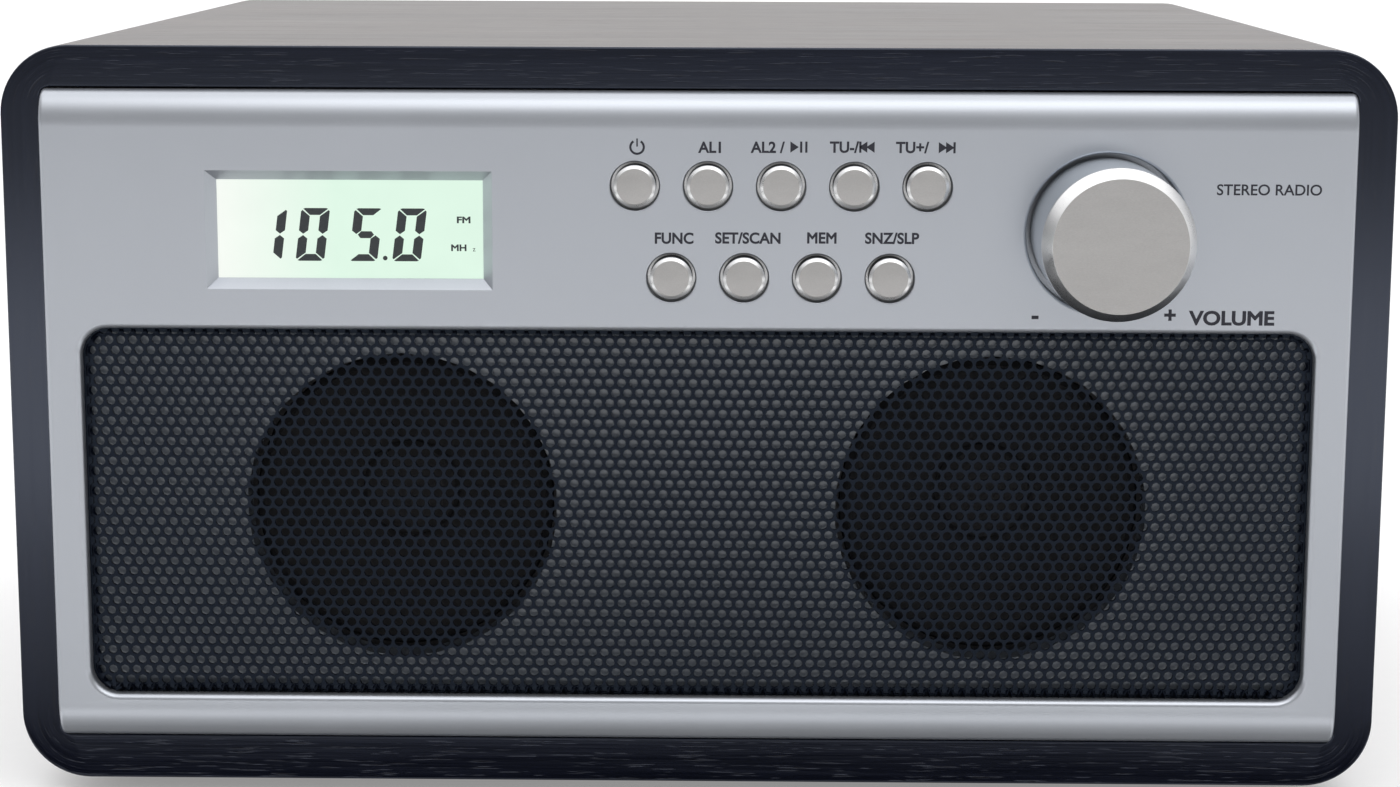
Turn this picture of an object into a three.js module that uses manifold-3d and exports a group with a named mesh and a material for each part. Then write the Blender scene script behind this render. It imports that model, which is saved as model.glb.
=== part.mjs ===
// Tabletop stereo clock radio. A veneered wooden tube is closed by a moulded front panel and a
// moulded rear panel. Two loudspeakers sit behind a pressed grille, and nine push buttons, a
// display and a volume knob sit above it. A telescopic aerial is folded flat across the back.
//
// Millimetres, +X to the right, +Y from front to back, +Z up. Each piece is built in the
// cabinet's own frame, with the front edge of the wood at y = 0 and its underside at z = 0. The
// group at the end moves them all, so that the origin is the bottom centre of the whole radio.

import * as THREE from "three";
import { mergeVertices } from "three/addons/utils/BufferGeometryUtils.js";
import Module from "manifold-3d";

const wasm = await Module();
wasm.setup();

// ---------------------------------------------------------------- driving dimensions

const GAP = 0.3; // between pieces that touch, seat or slide
const SIDES = 16; // of a small turned piece
const MANY_SIDES = 30; // of a large turned piece
const FEW_SIDES = 8; // of a peg, pin or screw

const CABINET = {
  width: 300,
  height: 163.5,
  depth: 220,
  cornerRadius: 15,
  innerRadius: 2.1,
  sideWall: 8.7,
  topWall: 9,
  baseWall: 10,
};

const PANEL = {
  proud: 4, // stands this far in front of the wood
  rollHeight: 8, // height of the rounded top and bottom edges
  cornerRadius: 1.8,
  wall: 2.5,
  returnDepth: 12, // how far its rim reaches into the cabinet
};

const GRILLE = {
  sideStrip: 7.65, // panel left beside the opening
  bottomStrip: 10.3, // panel left below it
  cornerRadius: 6,
  recess: 2, // face of the steel behind the face of the panel
  sheet: 0.8,
  flange: 3, // trapped behind the panel
};

const CONTROLS = {
  belowTop: 30, // line of the display, buttons and knob below the panel's top
  aboveGrille: 21.7, // and above the grille's opening
};

const DISPLAY = {
  fromSide: 66.35, // centre, from the panel's left edge
  width: 57.4, // clear window
  height: 21.4,
  bevel: 2.15, // 45 degree frame round the window
  border: 2, // glass that the window hides on each side
  glass: 2.8,
  backlight: 3.5,
  holderWall: 2,
};

const BUTTON = {
  centreX: 18.1,
  pitch: 15.65,
  rowSpacing: 19.8,
  upperRow: ["power", "alarm_1", "alarm_2", "tune_down", "tune_up"],
  lowerRow: ["function", "scan", "memory", "snooze"],
  capRadius: 4.55,
  slopeWidth: 0.7, // of the slope round the face
  slopeDepth: 0.6,
  proud: 1.3, // in front of the panel
  clearance: 0.6, // between the cap and its hole
  overlap: 0.6, // of the flange behind the panel
  flange: 1.2,
  stemRadius: 2,
  stemLength: 1,
  travel: 0.8,
};

const SWITCH = { size: 6, depth: 3.4, pinRadius: 1.75 };

const KNOB = {
  fromSide: 53.05, // centre, from the panel's right edge
  radius: 16.15,
  reach: 20.4, // face in front of the panel
  slopeWidth: 1.95, // of the bright slope round the face
  slope: 2.9, // its depth
  shell: 1.2, // metal skin
  clearance: 1.15, // between the knob and its opening
  cupWall: 1.5,
  cupDepth: 6, // floor of the cup behind the face of the panel
  rimDepth: 3, // rim of the knob behind the face of the panel
};

const ENCODER = {
  size: 12.4,
  shaftRadius: 3,
  bushWall: 0.8,
  bushReach: 4.5, // in front of the cup's floor
  nutWall: 1.6,
  nutDepth: 2,
};

const BOARD = {
  thickness: 1.6,
  frontY: 11, // control board behind the front edge of the wood
  pegSpread: 14, // pegs above and below the line of the controls
  margin: 3.2, // past the pegs and the encoder
};

const PEG = { radius: 1.5, stickOut: 1.5 };

const BAFFLE = {
  behindGrille: 1.5,
  thickness: 6,
  aboveGrille: 5, // above the grille's opening
  earWidth: 9, // ears that reach the upper pegs
  earRise: 3.2, // past the middle of the peg
  pegRise: 7.1, // upper pegs above the grille's opening
  pegInset: 16, // outer pegs from the panel's sides
};

const SPEAKER = {
  offsetX: 64.5,
  offsetZ: 1.1, // above the middle of the grille
  openingRadius: 34.1,
  flangeWidth: 4.9, // seated against the baffle
  flange: 1.2,
  bowlDepth: 21,
  taper: 10.1, // from the opening in to the neck
  wall: 1,
  coilRadius: 8,
  windowWidth: 18,
  magnetInset: 1, // magnet smaller than the neck
  magnetDepth: 13,
  coneDepth: 13,
  roll: 3, // width of the rolled surround
  rollRise: 1.5,
  paper: 0.8,
  capRadius: 11,
  capRise: 4,
};

const REAR = {
  inset: 3, // face behind the rear edge of the wood
  thickness: 3,
  blockSize: 14, // glued corner blocks that its screws bite into
  blockDepth: 18,
  slots: 9,
  slotWidth: 2.4,
  slotHeight: 26,
  slotPitch: 6,
  slotX: -62,
  slotZ: 105,
};

const SCREW = { shank: 1.5, point: 1.5, head: 3.2, headDepth: 1.9, length: 17, slot: 0.9 };

const MAIN_BOARD = {
  width: 116,
  depth: 74,
  height: 34, // of its underside above the underside of the wood
  rib: 4, // shelf ribs of the rear panel that carry it
  ribHeight: 12,
  pegInset: 8, // pegs in from its edges
};

const JACKS = {
  power_inlet: { x: 40, size: 10, length: 13, bore: 3.1, wall: 1.5, pin: 1 },
  audio_jack: { x: 16, size: 9, length: 12, bore: 1.8, wall: 1.6, pin: 0 },
};

const AERIAL = {
  fromSide: 30, // pivot, from the side of the rear panel
  belowTop: 12, // pivot, below the top of the opening
  radius: 3.5, // outermost section
  sections: 4,
  wall: 0.4, // of each tube, with the usual gap to the next one inside it
  length: 150, // of the first section, from the pivot
  rootClear: 6.5, // round part of the first section starts this far from the pivot
  plug: 5, // solid root of the first section
  step: 3, // each section ends this far past the one round it
  tipRadius: 3.3,
  tipLength: 6,
  spigotRadius: 2,
  spigotLength: 3, // behind the rear panel
  headRadius: 7.5,
  headDepth: 2.7,
  ear: 2,
  earReach: 4.5,
  lug: 5,
  lugRadius: 3.4,
  pinRadius: 1.2,
  standOff: 3.5, // clear of the rear edge of the wood
};

const FOOT = { radius: 8, height: 4, chamfer: 1, fromSide: 26, fromEnd: 24 };

const PARTS_ON_BOARD = {
  heatSink: { x: -34, fromBack: 34, width: 44, base: 4, fin: 2, fins: 6, finDepth: 12, height: 26 },
  tuner: { x: 34, fromBack: 50, width: 34, depth: 22, height: 8 },
  capacitor: { x: 0, fromBack: 48, radius: 6.5, height: 24 },
};

// ---------------------------------------------------------------- places worked out from them

const OPENING = {
  halfWidth: CABINET.width / 2 - CABINET.sideWall,
  bottom: CABINET.baseWall,
  top: CABINET.height - CABINET.topWall,
};
OPENING.height = OPENING.top - OPENING.bottom;
OPENING.z = (OPENING.top + OPENING.bottom) / 2;

const FACE = {
  halfWidth: OPENING.halfWidth - GAP,
  bottom: OPENING.bottom + GAP,
  top: OPENING.top - GAP,
  y: -PANEL.proud,
  backY: -PANEL.proud + PANEL.wall,
};
const CONTROL_Z = FACE.top - CONTROLS.belowTop;
const BEHIND_FACE_Y = FACE.backY + GAP; // first free plane behind the panel's wall

const MESH = {
  width: 2 * (FACE.halfWidth - GRILLE.sideStrip),
  bottom: FACE.bottom + GRILLE.bottomStrip,
  top: CONTROL_Z - CONTROLS.aboveGrille,
  frontY: FACE.y + GRILLE.recess,
};
MESH.height = MESH.top - MESH.bottom;
MESH.z = (MESH.top + MESH.bottom) / 2;
MESH.backY = MESH.frontY + GRILLE.sheet;

const GLASS = {
  x: DISPLAY.fromSide - FACE.halfWidth,
  width: DISPLAY.width + 2 * DISPLAY.border,
  height: DISPLAY.height + 2 * DISPLAY.border,
};
const HOLDER_MARGIN = 2 * (GAP + DISPLAY.holderWall);

const KNOB_X = FACE.halfWidth - KNOB.fromSide;
const CUP_FLOOR_Y = FACE.y + KNOB.cupDepth;
const KNOB_FACE_RADIUS = KNOB.radius - KNOB.slopeWidth;
const KNOB_OPENING = KNOB.radius + KNOB.clearance;
const CUP_RADIUS = KNOB_OPENING + KNOB.cupWall;
const BUSH_RADIUS = ENCODER.shaftRadius + GAP + ENCODER.bushWall;
const BUSH_FRONT_Y = CUP_FLOOR_Y - ENCODER.bushReach;

const BUTTON_HOLE = BUTTON.capRadius + BUTTON.clearance;
const BUTTON_FLANGE = BUTTON_HOLE + BUTTON.overlap;
const STEM_END_Y = BEHIND_FACE_Y + BUTTON.flange + BUTTON.stemLength;
const SWITCH_PIN_Y = STEM_END_Y + BUTTON.travel + GAP;
const SWITCH_BACK_Y = BOARD.frontY - GAP;

const BAFFLE_Y = MESH.backY + BAFFLE.behindGrille;
const BASKET_Y = BAFFLE_Y + BAFFLE.thickness + GAP;
const SPEAKER_Z = MESH.z + SPEAKER.offsetZ;
const NECK_RADIUS = SPEAKER.openingRadius - SPEAKER.taper;
const CONE_EDGE = SPEAKER.openingRadius - SPEAKER.wall - GAP;
const CONE_TOP = CONE_EDGE - SPEAKER.roll;
const CAP_LAP = 2; // of the dust cap over the inner edge of the cone

const REAR_Y = CABINET.depth - REAR.inset; // outer face of the rear panel
const REAR_INNER_Y = REAR_Y - REAR.thickness;
const BLOCK_BACK_Y = REAR_INNER_Y - GAP;
const BOARD_BACK_Y = REAR_INNER_Y - 1;
const BOARD_TOP_Z = MAIN_BOARD.height + BOARD.thickness;

const AERIAL_AT = [
  FACE.halfWidth - AERIAL.fromSide,
  CABINET.depth + AERIAL.standOff + AERIAL.radius,
  OPENING.top - AERIAL.belowTop,
];
const AERIAL_RADII = Array.from(
  { length: AERIAL.sections }, (_, i) => AERIAL.radius - i * (AERIAL.wall + GAP),
);

const outerPegX = FACE.halfWidth - BAFFLE.pegInset;
const upperPegX = [-2.35, 2.35].map((steps) => BUTTON.centreX + steps * BUTTON.pitch);
const UPPER_PEGS = [-outerPegX, ...upperPegX, outerPegX].map((x) => [x, MESH.top + BAFFLE.pegRise]);
const lowerPegZ = FACE.bottom + PANEL.wall + 2 * PEG.radius;
const LOWER_PEGS = [-outerPegX, 0, outerPegX].map((x) => [x, lowerPegZ]);

const boardPegX = [
  GLASS.x - GLASS.width / 2 - HOLDER_MARGIN - PEG.radius,
  ...[-3, 2.85].map((steps) => BUTTON.centreX + steps * BUTTON.pitch),
];
const BOARD_PEGS = boardPegX.flatMap((x) => [
  [x, CONTROL_Z - BOARD.pegSpread],
  [x, CONTROL_Z + BOARD.pegSpread],
]);

const SCREWS = {};
for (const [side, sign] of [["left", -1], ["right", 1]])
  for (const [level, z, up] of [["lower", OPENING.bottom, 1], ["upper", OPENING.top, -1]])
    SCREWS[`${level}_${side}`] = [
      sign * (OPENING.halfWidth - REAR.blockSize / 2),
      z + (up * REAR.blockSize) / 2,
    ];

// Places of the buttons, the lower row half a pitch inside the upper one.
const BUTTONS = {};
for (const [names, level] of [[BUTTON.upperRow, 1], [BUTTON.lowerRow, -1]])
  names.forEach((name, i) => {
    const x = BUTTON.centreX + (i - (names.length - 1) / 2) * BUTTON.pitch;
    BUTTONS[name] = [x, CONTROL_Z + (level * BUTTON.rowSpacing) / 2];
  });

// ---------------------------------------------------------------- solids

// Makes a closed three.js geometry a solid, whichever way round its faces were drawn.
function solidOf(geometry) {
  const bare = new THREE.BufferGeometry();
  bare.setAttribute("position", geometry.getAttribute("position"));
  if (geometry.index) bare.setIndex(geometry.index);
  const merged = mergeVertices(bare, 1e-4);
  const corners = Array.from(merged.index.array);
  const faces = [];
  for (let i = 0; i < corners.length; i += 3) {
    const [a, b, c] = corners.slice(i, i + 3);
    if (a !== b && b !== c && c !== a) faces.push([a, b, c]);
  }
  const make = (triangles) =>
    new wasm.Manifold(
      new wasm.Mesh({
        numProp: 3,
        vertProperties: new Float32Array(merged.attributes.position.array),
        triVerts: new Uint32Array(triangles.flat()),
      }),
    );
  const solid = make(faces);
  return solid.volume() < 0 ? make(faces.map(([a, b, c]) => [a, c, b])) : solid;
}

// Joins solids.
function join(first, ...others) {
  return others.reduce((sum, other) => sum.add(other), first);
}

// Cuts solids out of the first one.
function cut(first, ...tools) {
  return tools.reduce((rest, tool) => rest.subtract(tool), first);
}

// A box from one corner to the opposite one.
function block(from, to) {
  const [width, depth, height] = from.map((v, i) => Math.abs(to[i] - v));
  const box = new THREE.BoxGeometry(width, depth, height);
  box.translate(...from.map((v, i) => (v + to[i]) / 2));
  return solidOf(box);
}

// A box standing on z, with its middle at (x, y).
function standingBlock(width, depth, height, x, y, z) {
  return block([x - width / 2, y - depth / 2, z], [x + width / 2, y + depth / 2, z + height]);
}

// A rectangle in the plane of the front, with round corners.
function roundedRectangle(width, height, radius, x, z) {
  const dx = width / 2 - radius;
  const dz = height / 2 - radius;
  const shape = new THREE.Shape();
  [[dx, dz], [-dx, dz], [-dx, -dz], [dx, -dz]].forEach(([cx, cz], quarter) => {
    const start = (quarter * Math.PI) / 2;
    shape.absarc(x + cx, z + cz, radius, start, start + Math.PI / 2);
  });
  return shape;
}

// A plain rectangle in the plane of the front.
function rectangle(width, height, x, z) {
  const shape = new THREE.Shape();
  shape.moveTo(x - width / 2, z - height / 2);
  shape.lineTo(x + width / 2, z - height / 2);
  shape.lineTo(x + width / 2, z + height / 2);
  shape.lineTo(x - width / 2, z + height / 2);
  return shape;
}

// An outline in the plane of the front, (x, z), pushed from y0 back to y1. A slope makes it
// narrower over that depth at each end, by as much again.
function slab(shape, y0, y1, slope = 0) {
  const solid = new THREE.ExtrudeGeometry(shape, {
    depth: y1 - y0 - 2 * slope,
    bevelEnabled: slope > 0,
    bevelThickness: slope,
    bevelSize: slope,
    bevelSegments: 1,
    curveSegments: 3,
  });
  solid.rotateX(Math.PI / 2);
  solid.translate(0, y1 - slope, 0);
  return solidOf(solid);
}

// An outline seen from the side, (y, z), pushed from x0 across to x1.
function bar(shape, x0, x1) {
  const solid = new THREE.ExtrudeGeometry(shape, {
    depth: x1 - x0,
    bevelEnabled: false,
    curveSegments: 4,
  });
  const alongX = new THREE.Matrix4().makeBasis(
    new THREE.Vector3(0, 1, 0),
    new THREE.Vector3(0, 0, 1),
    new THREE.Vector3(1, 0, 0),
  );
  solid.applyMatrix4(alongX);
  solid.translate(x0, 0, 0);
  return solidOf(solid);
}

// A profile of [radius, distance] points turned about a line through a place, along x, y or z.
// It starts and ends on that line, or closes on itself.
function turned(profile, place, along = "y", sides = SIDES) {
  const points = profile.map(([radius, distance]) => new THREE.Vector2(radius, distance));
  const solid = new THREE.LatheGeometry(points, sides);
  if (along === "x") solid.rotateZ(-Math.PI / 2);
  if (along === "z") solid.rotateX(Math.PI / 2);
  solid.translate(...place);
  return solidOf(solid);
}

// A plain rod between two distances along a line.
function rod(radius, from, to, place, along = "y", sides = SIDES) {
  return turned([[0, from], [radius, from], [radius, to], [0, to]], place, along, sides);
}

// A tube between two distances along a line, open at both ends.
function pipe(outer, inner, from, to, place, along = "y", sides = SIDES) {
  const profile = [[inner, from], [outer, from], [outer, to], [inner, to], [inner, from]];
  return turned(profile, place, along, sides);
}

// Rods along Y, one at each (x, z).
function rodsAt(places, radius, y0, y1, sides = FEW_SIDES) {
  return places.map(([x, z]) => rod(radius, y0, y1, [x, 0, z], "y", sides));
}

// ---------------------------------------------------------------- finishes

function finish(color, roughness, metalness) {
  return () => new THREE.MeshStandardMaterial({ color, roughness, metalness });
}

const FINISH = {
  veneer: finish(0x2b2320, 0.45, 0),
  silverPaint: finish(0xa6abb3, 0.4, 0.55),
  blackSteel: finish(0x17181a, 0.45, 0.6),
  blackBoard: finish(0x191a1c, 0.5, 0),
  blackPlastic: finish(0x1c1c1e, 0.6, 0),
  satinMetal: finish(0xb4b1ab, 0.3, 1),
  steel: finish(0x9b9da0, 0.35, 1),
  chrome: finish(0xd0d2d4, 0.12, 1),
  ferrite: finish(0x2a2a2c, 0.7, 0.1),
  paper: finish(0x202124, 0.9, 0),
  displayGlass: finish(0xdff4e6, 0.15, 0),
  diffuser: finish(0xe8f6ea, 0.5, 0),
  circuitBoard: finish(0x1f4d33, 0.6, 0),
  heatSink: finish(0x55585c, 0.5, 0.9),
  rubber: finish(0x121212, 0.9, 0),
};

const radio = new THREE.Group();

// Adds one named piece, in the cabinet's frame.
function add(name, solid, makeMaterial) {
  const mesh = solid.getMesh();
  const geometry = new THREE.BufferGeometry();
  geometry.setAttribute("position", new THREE.BufferAttribute(mesh.vertProperties, 3));
  geometry.setIndex(new THREE.BufferAttribute(mesh.triVerts, 1));
  geometry.computeVertexNormals();
  const piece = new THREE.Mesh(geometry, makeMaterial());
  piece.name = name;
  radio.add(piece);
}

// ---------------------------------------------------------------- cabinet

// A block glued into one corner of the tube, let into the wood so that the two are one.
function cornerBlock([x, z]) {
  const half = REAR.blockSize / 2;
  const intoWood = half + 1;
  const out = Math.sign(x);
  const up = Math.sign(z - OPENING.z);
  return block(
    [x - out * half, BLOCK_BACK_Y - REAR.blockDepth, z - up * half],
    [x + out * intoWood, BLOCK_BACK_Y, z + up * intoWood],
  );
}

function woodCabinet() {
  const { width, height, depth, cornerRadius, innerRadius } = CABINET;
  const outside = roundedRectangle(width, height, cornerRadius, 0, height / 2);
  const inside = roundedRectangle(
    2 * OPENING.halfWidth, OPENING.height, innerRadius, 0, OPENING.z,
  );
  const tube = cut(slab(outside, 0, depth), slab(inside, -1, depth + 1));
  const places = Object.values(SCREWS);
  const pilotFront = BLOCK_BACK_Y - REAR.blockDepth - 1;
  const pilots = rodsAt(places, SCREW.shank + GAP, pilotFront, BLOCK_BACK_Y + 1);
  return cut(join(tube, ...places.map(cornerBlock)), ...pilots);
}

add("wood_cabinet", woodCabinet(), FINISH.veneer);

// ---------------------------------------------------------------- front panel

// Side view of the panel's skin, inset from its face: flat in front, with a quarter of an
// ellipse at the top and at the bottom.
function panelProfile(inset, backY) {
  const bottom = FACE.bottom + inset;
  const top = FACE.top - inset;
  const front = FACE.y + inset;
  const rise = PANEL.rollHeight;
  const bend = Math.max(front, 0) - front;
  const shape = new THREE.Shape();
  shape.moveTo(backY, bottom);
  shape.lineTo(front + bend, bottom);
  shape.absellipse(front + bend, bottom + rise, bend, rise, -Math.PI / 2, -Math.PI, true);
  shape.absellipse(front + bend, top - rise, bend, rise, Math.PI, Math.PI / 2, true);
  shape.lineTo(backY, top);
  return shape;
}

// The window through the panel, with its 45 degree frame.
function displayWindow() {
  const { width, height, bevel } = DISPLAY;
  const window = rectangle(width, height, GLASS.x, CONTROL_Z);
  return join(
    slab(window, FACE.y, FACE.backY + 1),
    slab(window, FACE.y - 4 * bevel, FACE.y + bevel, bevel),
  );
}

function frontPanel() {
  const { halfWidth, bottom, top, y, backY } = FACE;
  const { wall, returnDepth, cornerRadius } = PANEL;
  const outline = roundedRectangle(2 * halfWidth, top - bottom, cornerRadius, 0, OPENING.z);
  const skin = bar(panelProfile(0, returnDepth), -halfWidth, halfWidth)
    .intersect(slab(outline, y - 1, returnDepth + 1));
  const hollow = bar(panelProfile(wall, returnDepth + 1), wall - halfWidth, halfWidth - wall);
  const knob = [KNOB_X, 0, CONTROL_Z];
  const cup = rod(CUP_RADIUS, backY - 1, CUP_FLOOR_Y + KNOB.cupWall, knob, "y", MANY_SIDES);
  const pegRoot = backY - 1;
  const bafflePegs = rodsAt(
    [...UPPER_PEGS, ...LOWER_PEGS], PEG.radius, pegRoot, BASKET_Y - GAP + PEG.stickOut,
  );
  const boardPegs = rodsAt(
    BOARD_PEGS, PEG.radius, pegRoot, BOARD.frontY + BOARD.thickness + PEG.stickOut,
  );
  const opening = roundedRectangle(MESH.width, MESH.height, GRILLE.cornerRadius, 0, MESH.z);
  return cut(
    join(cut(skin, hollow), cup, ...bafflePegs, ...boardPegs),
    slab(opening, y - 1, backY + 1),
    displayWindow(),
    ...rodsAt(Object.values(BUTTONS), BUTTON_HOLE, y - 1, backY + 1, SIDES),
    rod(KNOB_OPENING, y - 1, CUP_FLOOR_Y, knob, "y", MANY_SIDES),
    rod(BUSH_RADIUS + GAP, CUP_FLOOR_Y - 1, CUP_FLOOR_Y + KNOB.cupWall + 1, knob),
  );
}

add("front_panel", frontPanel(), FINISH.silverPaint);

// ---------------------------------------------------------------- grille, baffle, loudspeakers

// Room that the grille and the baffle leave round the knob's cup.
const cupRelief = rod(
  CUP_RADIUS + 2 * GAP, FACE.backY, BASKET_Y, [KNOB_X, 0, CONTROL_Z], "y", MANY_SIDES,
);

// A shallow pressed tray: the face and its turned-back rim stand in the opening, and the flange
// is trapped behind the panel.
function speakerGrille() {
  const { cornerRadius, sheet, flange } = GRILLE;
  const tray = (inset, y0, y1) =>
    slab(
      roundedRectangle(
        MESH.width - 2 * inset, MESH.height - 2 * inset, cornerRadius - inset, 0, MESH.z,
      ),
      y0,
      y1,
    );
  const flangeBackY = BEHIND_FACE_Y + sheet;
  const outer = join(
    tray(GAP, MESH.frontY, flangeBackY),
    cut(tray(-flange, BEHIND_FACE_Y, flangeBackY), cupRelief),
  );
  return cut(outer, tray(GAP + sheet, MESH.backY, flangeBackY + 1));
}

add("speaker_grille", speakerGrille(), FINISH.blackSteel);

function speakerBaffle() {
  const backY = BAFFLE_Y + BAFFLE.thickness;
  const halfWidth = FACE.halfWidth - PANEL.wall - GAP;
  const bottom = FACE.bottom + PANEL.wall + GAP;
  const top = MESH.top + BAFFLE.aboveGrille;
  const plate = block([-halfWidth, BAFFLE_Y, bottom], [halfWidth, backY, top]);
  const ears = UPPER_PEGS.map(([x, z]) =>
    block(
      [x - BAFFLE.earWidth / 2, BAFFLE_Y, top - 1],
      [x + BAFFLE.earWidth / 2, backY, z + BAFFLE.earRise],
    ));
  const mouths = [-1, 1].map((side) =>
    rod(SPEAKER.openingRadius, BAFFLE_Y - 1, backY + 1,
      [side * SPEAKER.offsetX, 0, SPEAKER_Z], "y", MANY_SIDES));
  const holes = rodsAt([...UPPER_PEGS, ...LOWER_PEGS], PEG.radius + GAP, BAFFLE_Y - 1, backY + 1);
  return cut(join(plate, ...ears), ...mouths, ...holes, cupRelief);
}

add("speaker_baffle", speakerBaffle(), FINISH.blackBoard);

// Pressed steel frame: a flange, a bowl with four windows, and a floor with a hole for the coil.
function speakerBasket(place) {
  const { openingRadius, flangeWidth, flange, bowlDepth, wall, coilRadius } = SPEAKER;
  const front = BASKET_Y;
  const floor = front + bowlDepth;
  const rim = openingRadius - wall;
  const flangeRadius = openingRadius + flangeWidth;
  const bowl = turned([
    [rim, front], [flangeRadius, front], [flangeRadius, front + flange],
    [openingRadius, front + flange], [NECK_RADIUS, floor + wall], [coilRadius, floor + wall],
    [coilRadius, floor], [NECK_RADIUS - wall, floor], [rim, front + flange], [rim, front],
  ], place, "y", MANY_SIDES);
  const half = SPEAKER.windowWidth / 2;
  const from = front + 3 * flange;
  const to = floor - 2 * wall;
  const across = [[flangeRadius, half], [half, flangeRadius]].map(([dx, dz]) =>
    block([place[0] - dx, from, place[2] - dz], [place[0] + dx, to, place[2] + dz]));
  return cut(bowl, ...across);
}

// A paper cone in one piece with the rolled surround at its edge.
function speakerCone(place) {
  const { coneDepth, paper, roll, rollRise, capRadius } = SPEAKER;
  const front = BASKET_Y;
  const crest = CONE_EDGE - roll / 2;
  const mouth = capRadius - CAP_LAP;
  return turned([
    [CONE_EDGE, front], [crest, front - rollRise], [CONE_TOP, front],
    [mouth, front + coneDepth], [mouth, front + coneDepth + paper],
    [CONE_TOP, front + 1.5 * paper], [crest, front - rollRise + paper],
    [CONE_EDGE, front + paper], [CONE_EDGE, front],
  ], place, "y", MANY_SIDES);
}

// A domed cap over the voice coil, glued to the cone.
function dustCap(place) {
  const { coneDepth, capRadius, capRise, paper } = SPEAKER;
  const slope = coneDepth / (CONE_TOP - (capRadius - CAP_LAP));
  const seat = BASKET_Y + slope * (CONE_TOP - capRadius) - 2 * GAP;
  const dome = (radius, rise, y) =>
    [0, 1, 2, 3, 4].map((i) => {
      const angle = (i / 4) * (Math.PI / 2);
      return [radius * Math.sin(angle), y - rise * Math.cos(angle)];
    });
  const inner = dome(capRadius - paper, capRise - paper, seat).reverse();
  return turned([...dome(capRadius, capRise, seat), ...inner], place);
}

for (const [side, sign] of [["left", -1], ["right", 1]]) {
  const place = [sign * SPEAKER.offsetX, 0, SPEAKER_Z];
  const magnetY = BASKET_Y + SPEAKER.bowlDepth + SPEAKER.wall + GAP;
  add(`${side}_speaker_basket`, speakerBasket(place), FINISH.steel);
  add(`${side}_speaker_cone`, speakerCone(place), FINISH.paper);
  add(`${side}_dust_cap`, dustCap(place), FINISH.paper);
  add(
    `${side}_speaker_magnet`,
    rod(NECK_RADIUS - SPEAKER.magnetInset, magnetY, magnetY + SPEAKER.magnetDepth, place),
    FINISH.ferrite,
  );
}

// ---------------------------------------------------------------- display and control board

function displayPlate(y0, y1, margin = 0) {
  return slab(
    rectangle(GLASS.width + margin, GLASS.height + margin, GLASS.x, CONTROL_Z), y0, y1,
  );
}

const glassBackY = BEHIND_FACE_Y + DISPLAY.glass;
const backlightY = glassBackY + GAP;
add("display_glass", displayPlate(BEHIND_FACE_Y, glassBackY), FINISH.displayGlass);
add(
  "display_backlight", displayPlate(backlightY, backlightY + DISPLAY.backlight), FINISH.diffuser,
);
add(
  "display_holder",
  cut(
    displayPlate(BEHIND_FACE_Y, BOARD.frontY - GAP, HOLDER_MARGIN),
    displayPlate(BEHIND_FACE_Y - 1, BOARD.frontY, 2 * GAP),
  ),
  FINISH.blackPlastic,
);

function controlBoard() {
  const { frontY, thickness, pegSpread, margin } = BOARD;
  const backY = frontY + thickness;
  const left = boardPegX[0] - margin;
  const right = KNOB_X + ENCODER.size / 2 + margin;
  const plate = block(
    [left, frontY, CONTROL_Z - pegSpread - margin], [right, backY, CONTROL_Z + pegSpread + margin],
  );
  return cut(plate, ...rodsAt(BOARD_PEGS, PEG.radius + GAP, frontY - 1, backY + 1));
}

add("control_board", controlBoard(), FINISH.circuitBoard);

// ---------------------------------------------------------------- push buttons

// A metal cap with a flange that holds it behind the panel, and a stem that meets its switch.
function buttonCap([x, z]) {
  const frontY = FACE.y - BUTTON.proud;
  const flangeBackY = BEHIND_FACE_Y + BUTTON.flange;
  const { capRadius, slopeWidth, slopeDepth, stemRadius } = BUTTON;
  return turned([
    [0, frontY], [capRadius - slopeWidth, frontY], [capRadius, frontY + slopeDepth],
    [capRadius, BEHIND_FACE_Y], [BUTTON_FLANGE, BEHIND_FACE_Y], [BUTTON_FLANGE, flangeBackY],
    [stemRadius, flangeBackY], [stemRadius, STEM_END_Y], [0, STEM_END_Y],
  ], [x, 0, z]);
}

// A push switch soldered to the control board, with a long pin.
function pushSwitch([x, z]) {
  const bodyY = SWITCH_BACK_Y - SWITCH.depth;
  return join(
    slab(rectangle(SWITCH.size, SWITCH.size, x, z), bodyY, SWITCH_BACK_Y),
    rod(SWITCH.pinRadius, SWITCH_PIN_Y, bodyY + 1, [x, 0, z], "y", FEW_SIDES),
  );
}

for (const [name, place] of Object.entries(BUTTONS)) {
  add(`${name}_button`, buttonCap(place), FINISH.satinMetal);
  add(`${name}_switch`, pushSwitch(place), FINISH.blackPlastic);
}

// ---------------------------------------------------------------- volume knob and encoder

const knobPlace = [KNOB_X, 0, CONTROL_Z];
const knobFaceY = FACE.y - KNOB.reach;
const coreBackY = BUSH_FRONT_Y - 2 * GAP;
const shaftFrontY = knobFaceY + KNOB.shell + KNOB.slope;

// A turned metal skin: flat face, bright slope, plain side.
function knobShell() {
  const { radius, slope, shell, rimDepth } = KNOB;
  const backY = FACE.y + rimDepth;
  return turned([
    [0, knobFaceY], [KNOB_FACE_RADIUS, knobFaceY], [radius, knobFaceY + slope], [radius, backY],
    [radius - shell, backY], [radius - shell, knobFaceY + slope],
    [KNOB_FACE_RADIUS - shell, knobFaceY + shell], [0, knobFaceY + shell],
  ], knobPlace, "y", MANY_SIDES);
}

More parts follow.
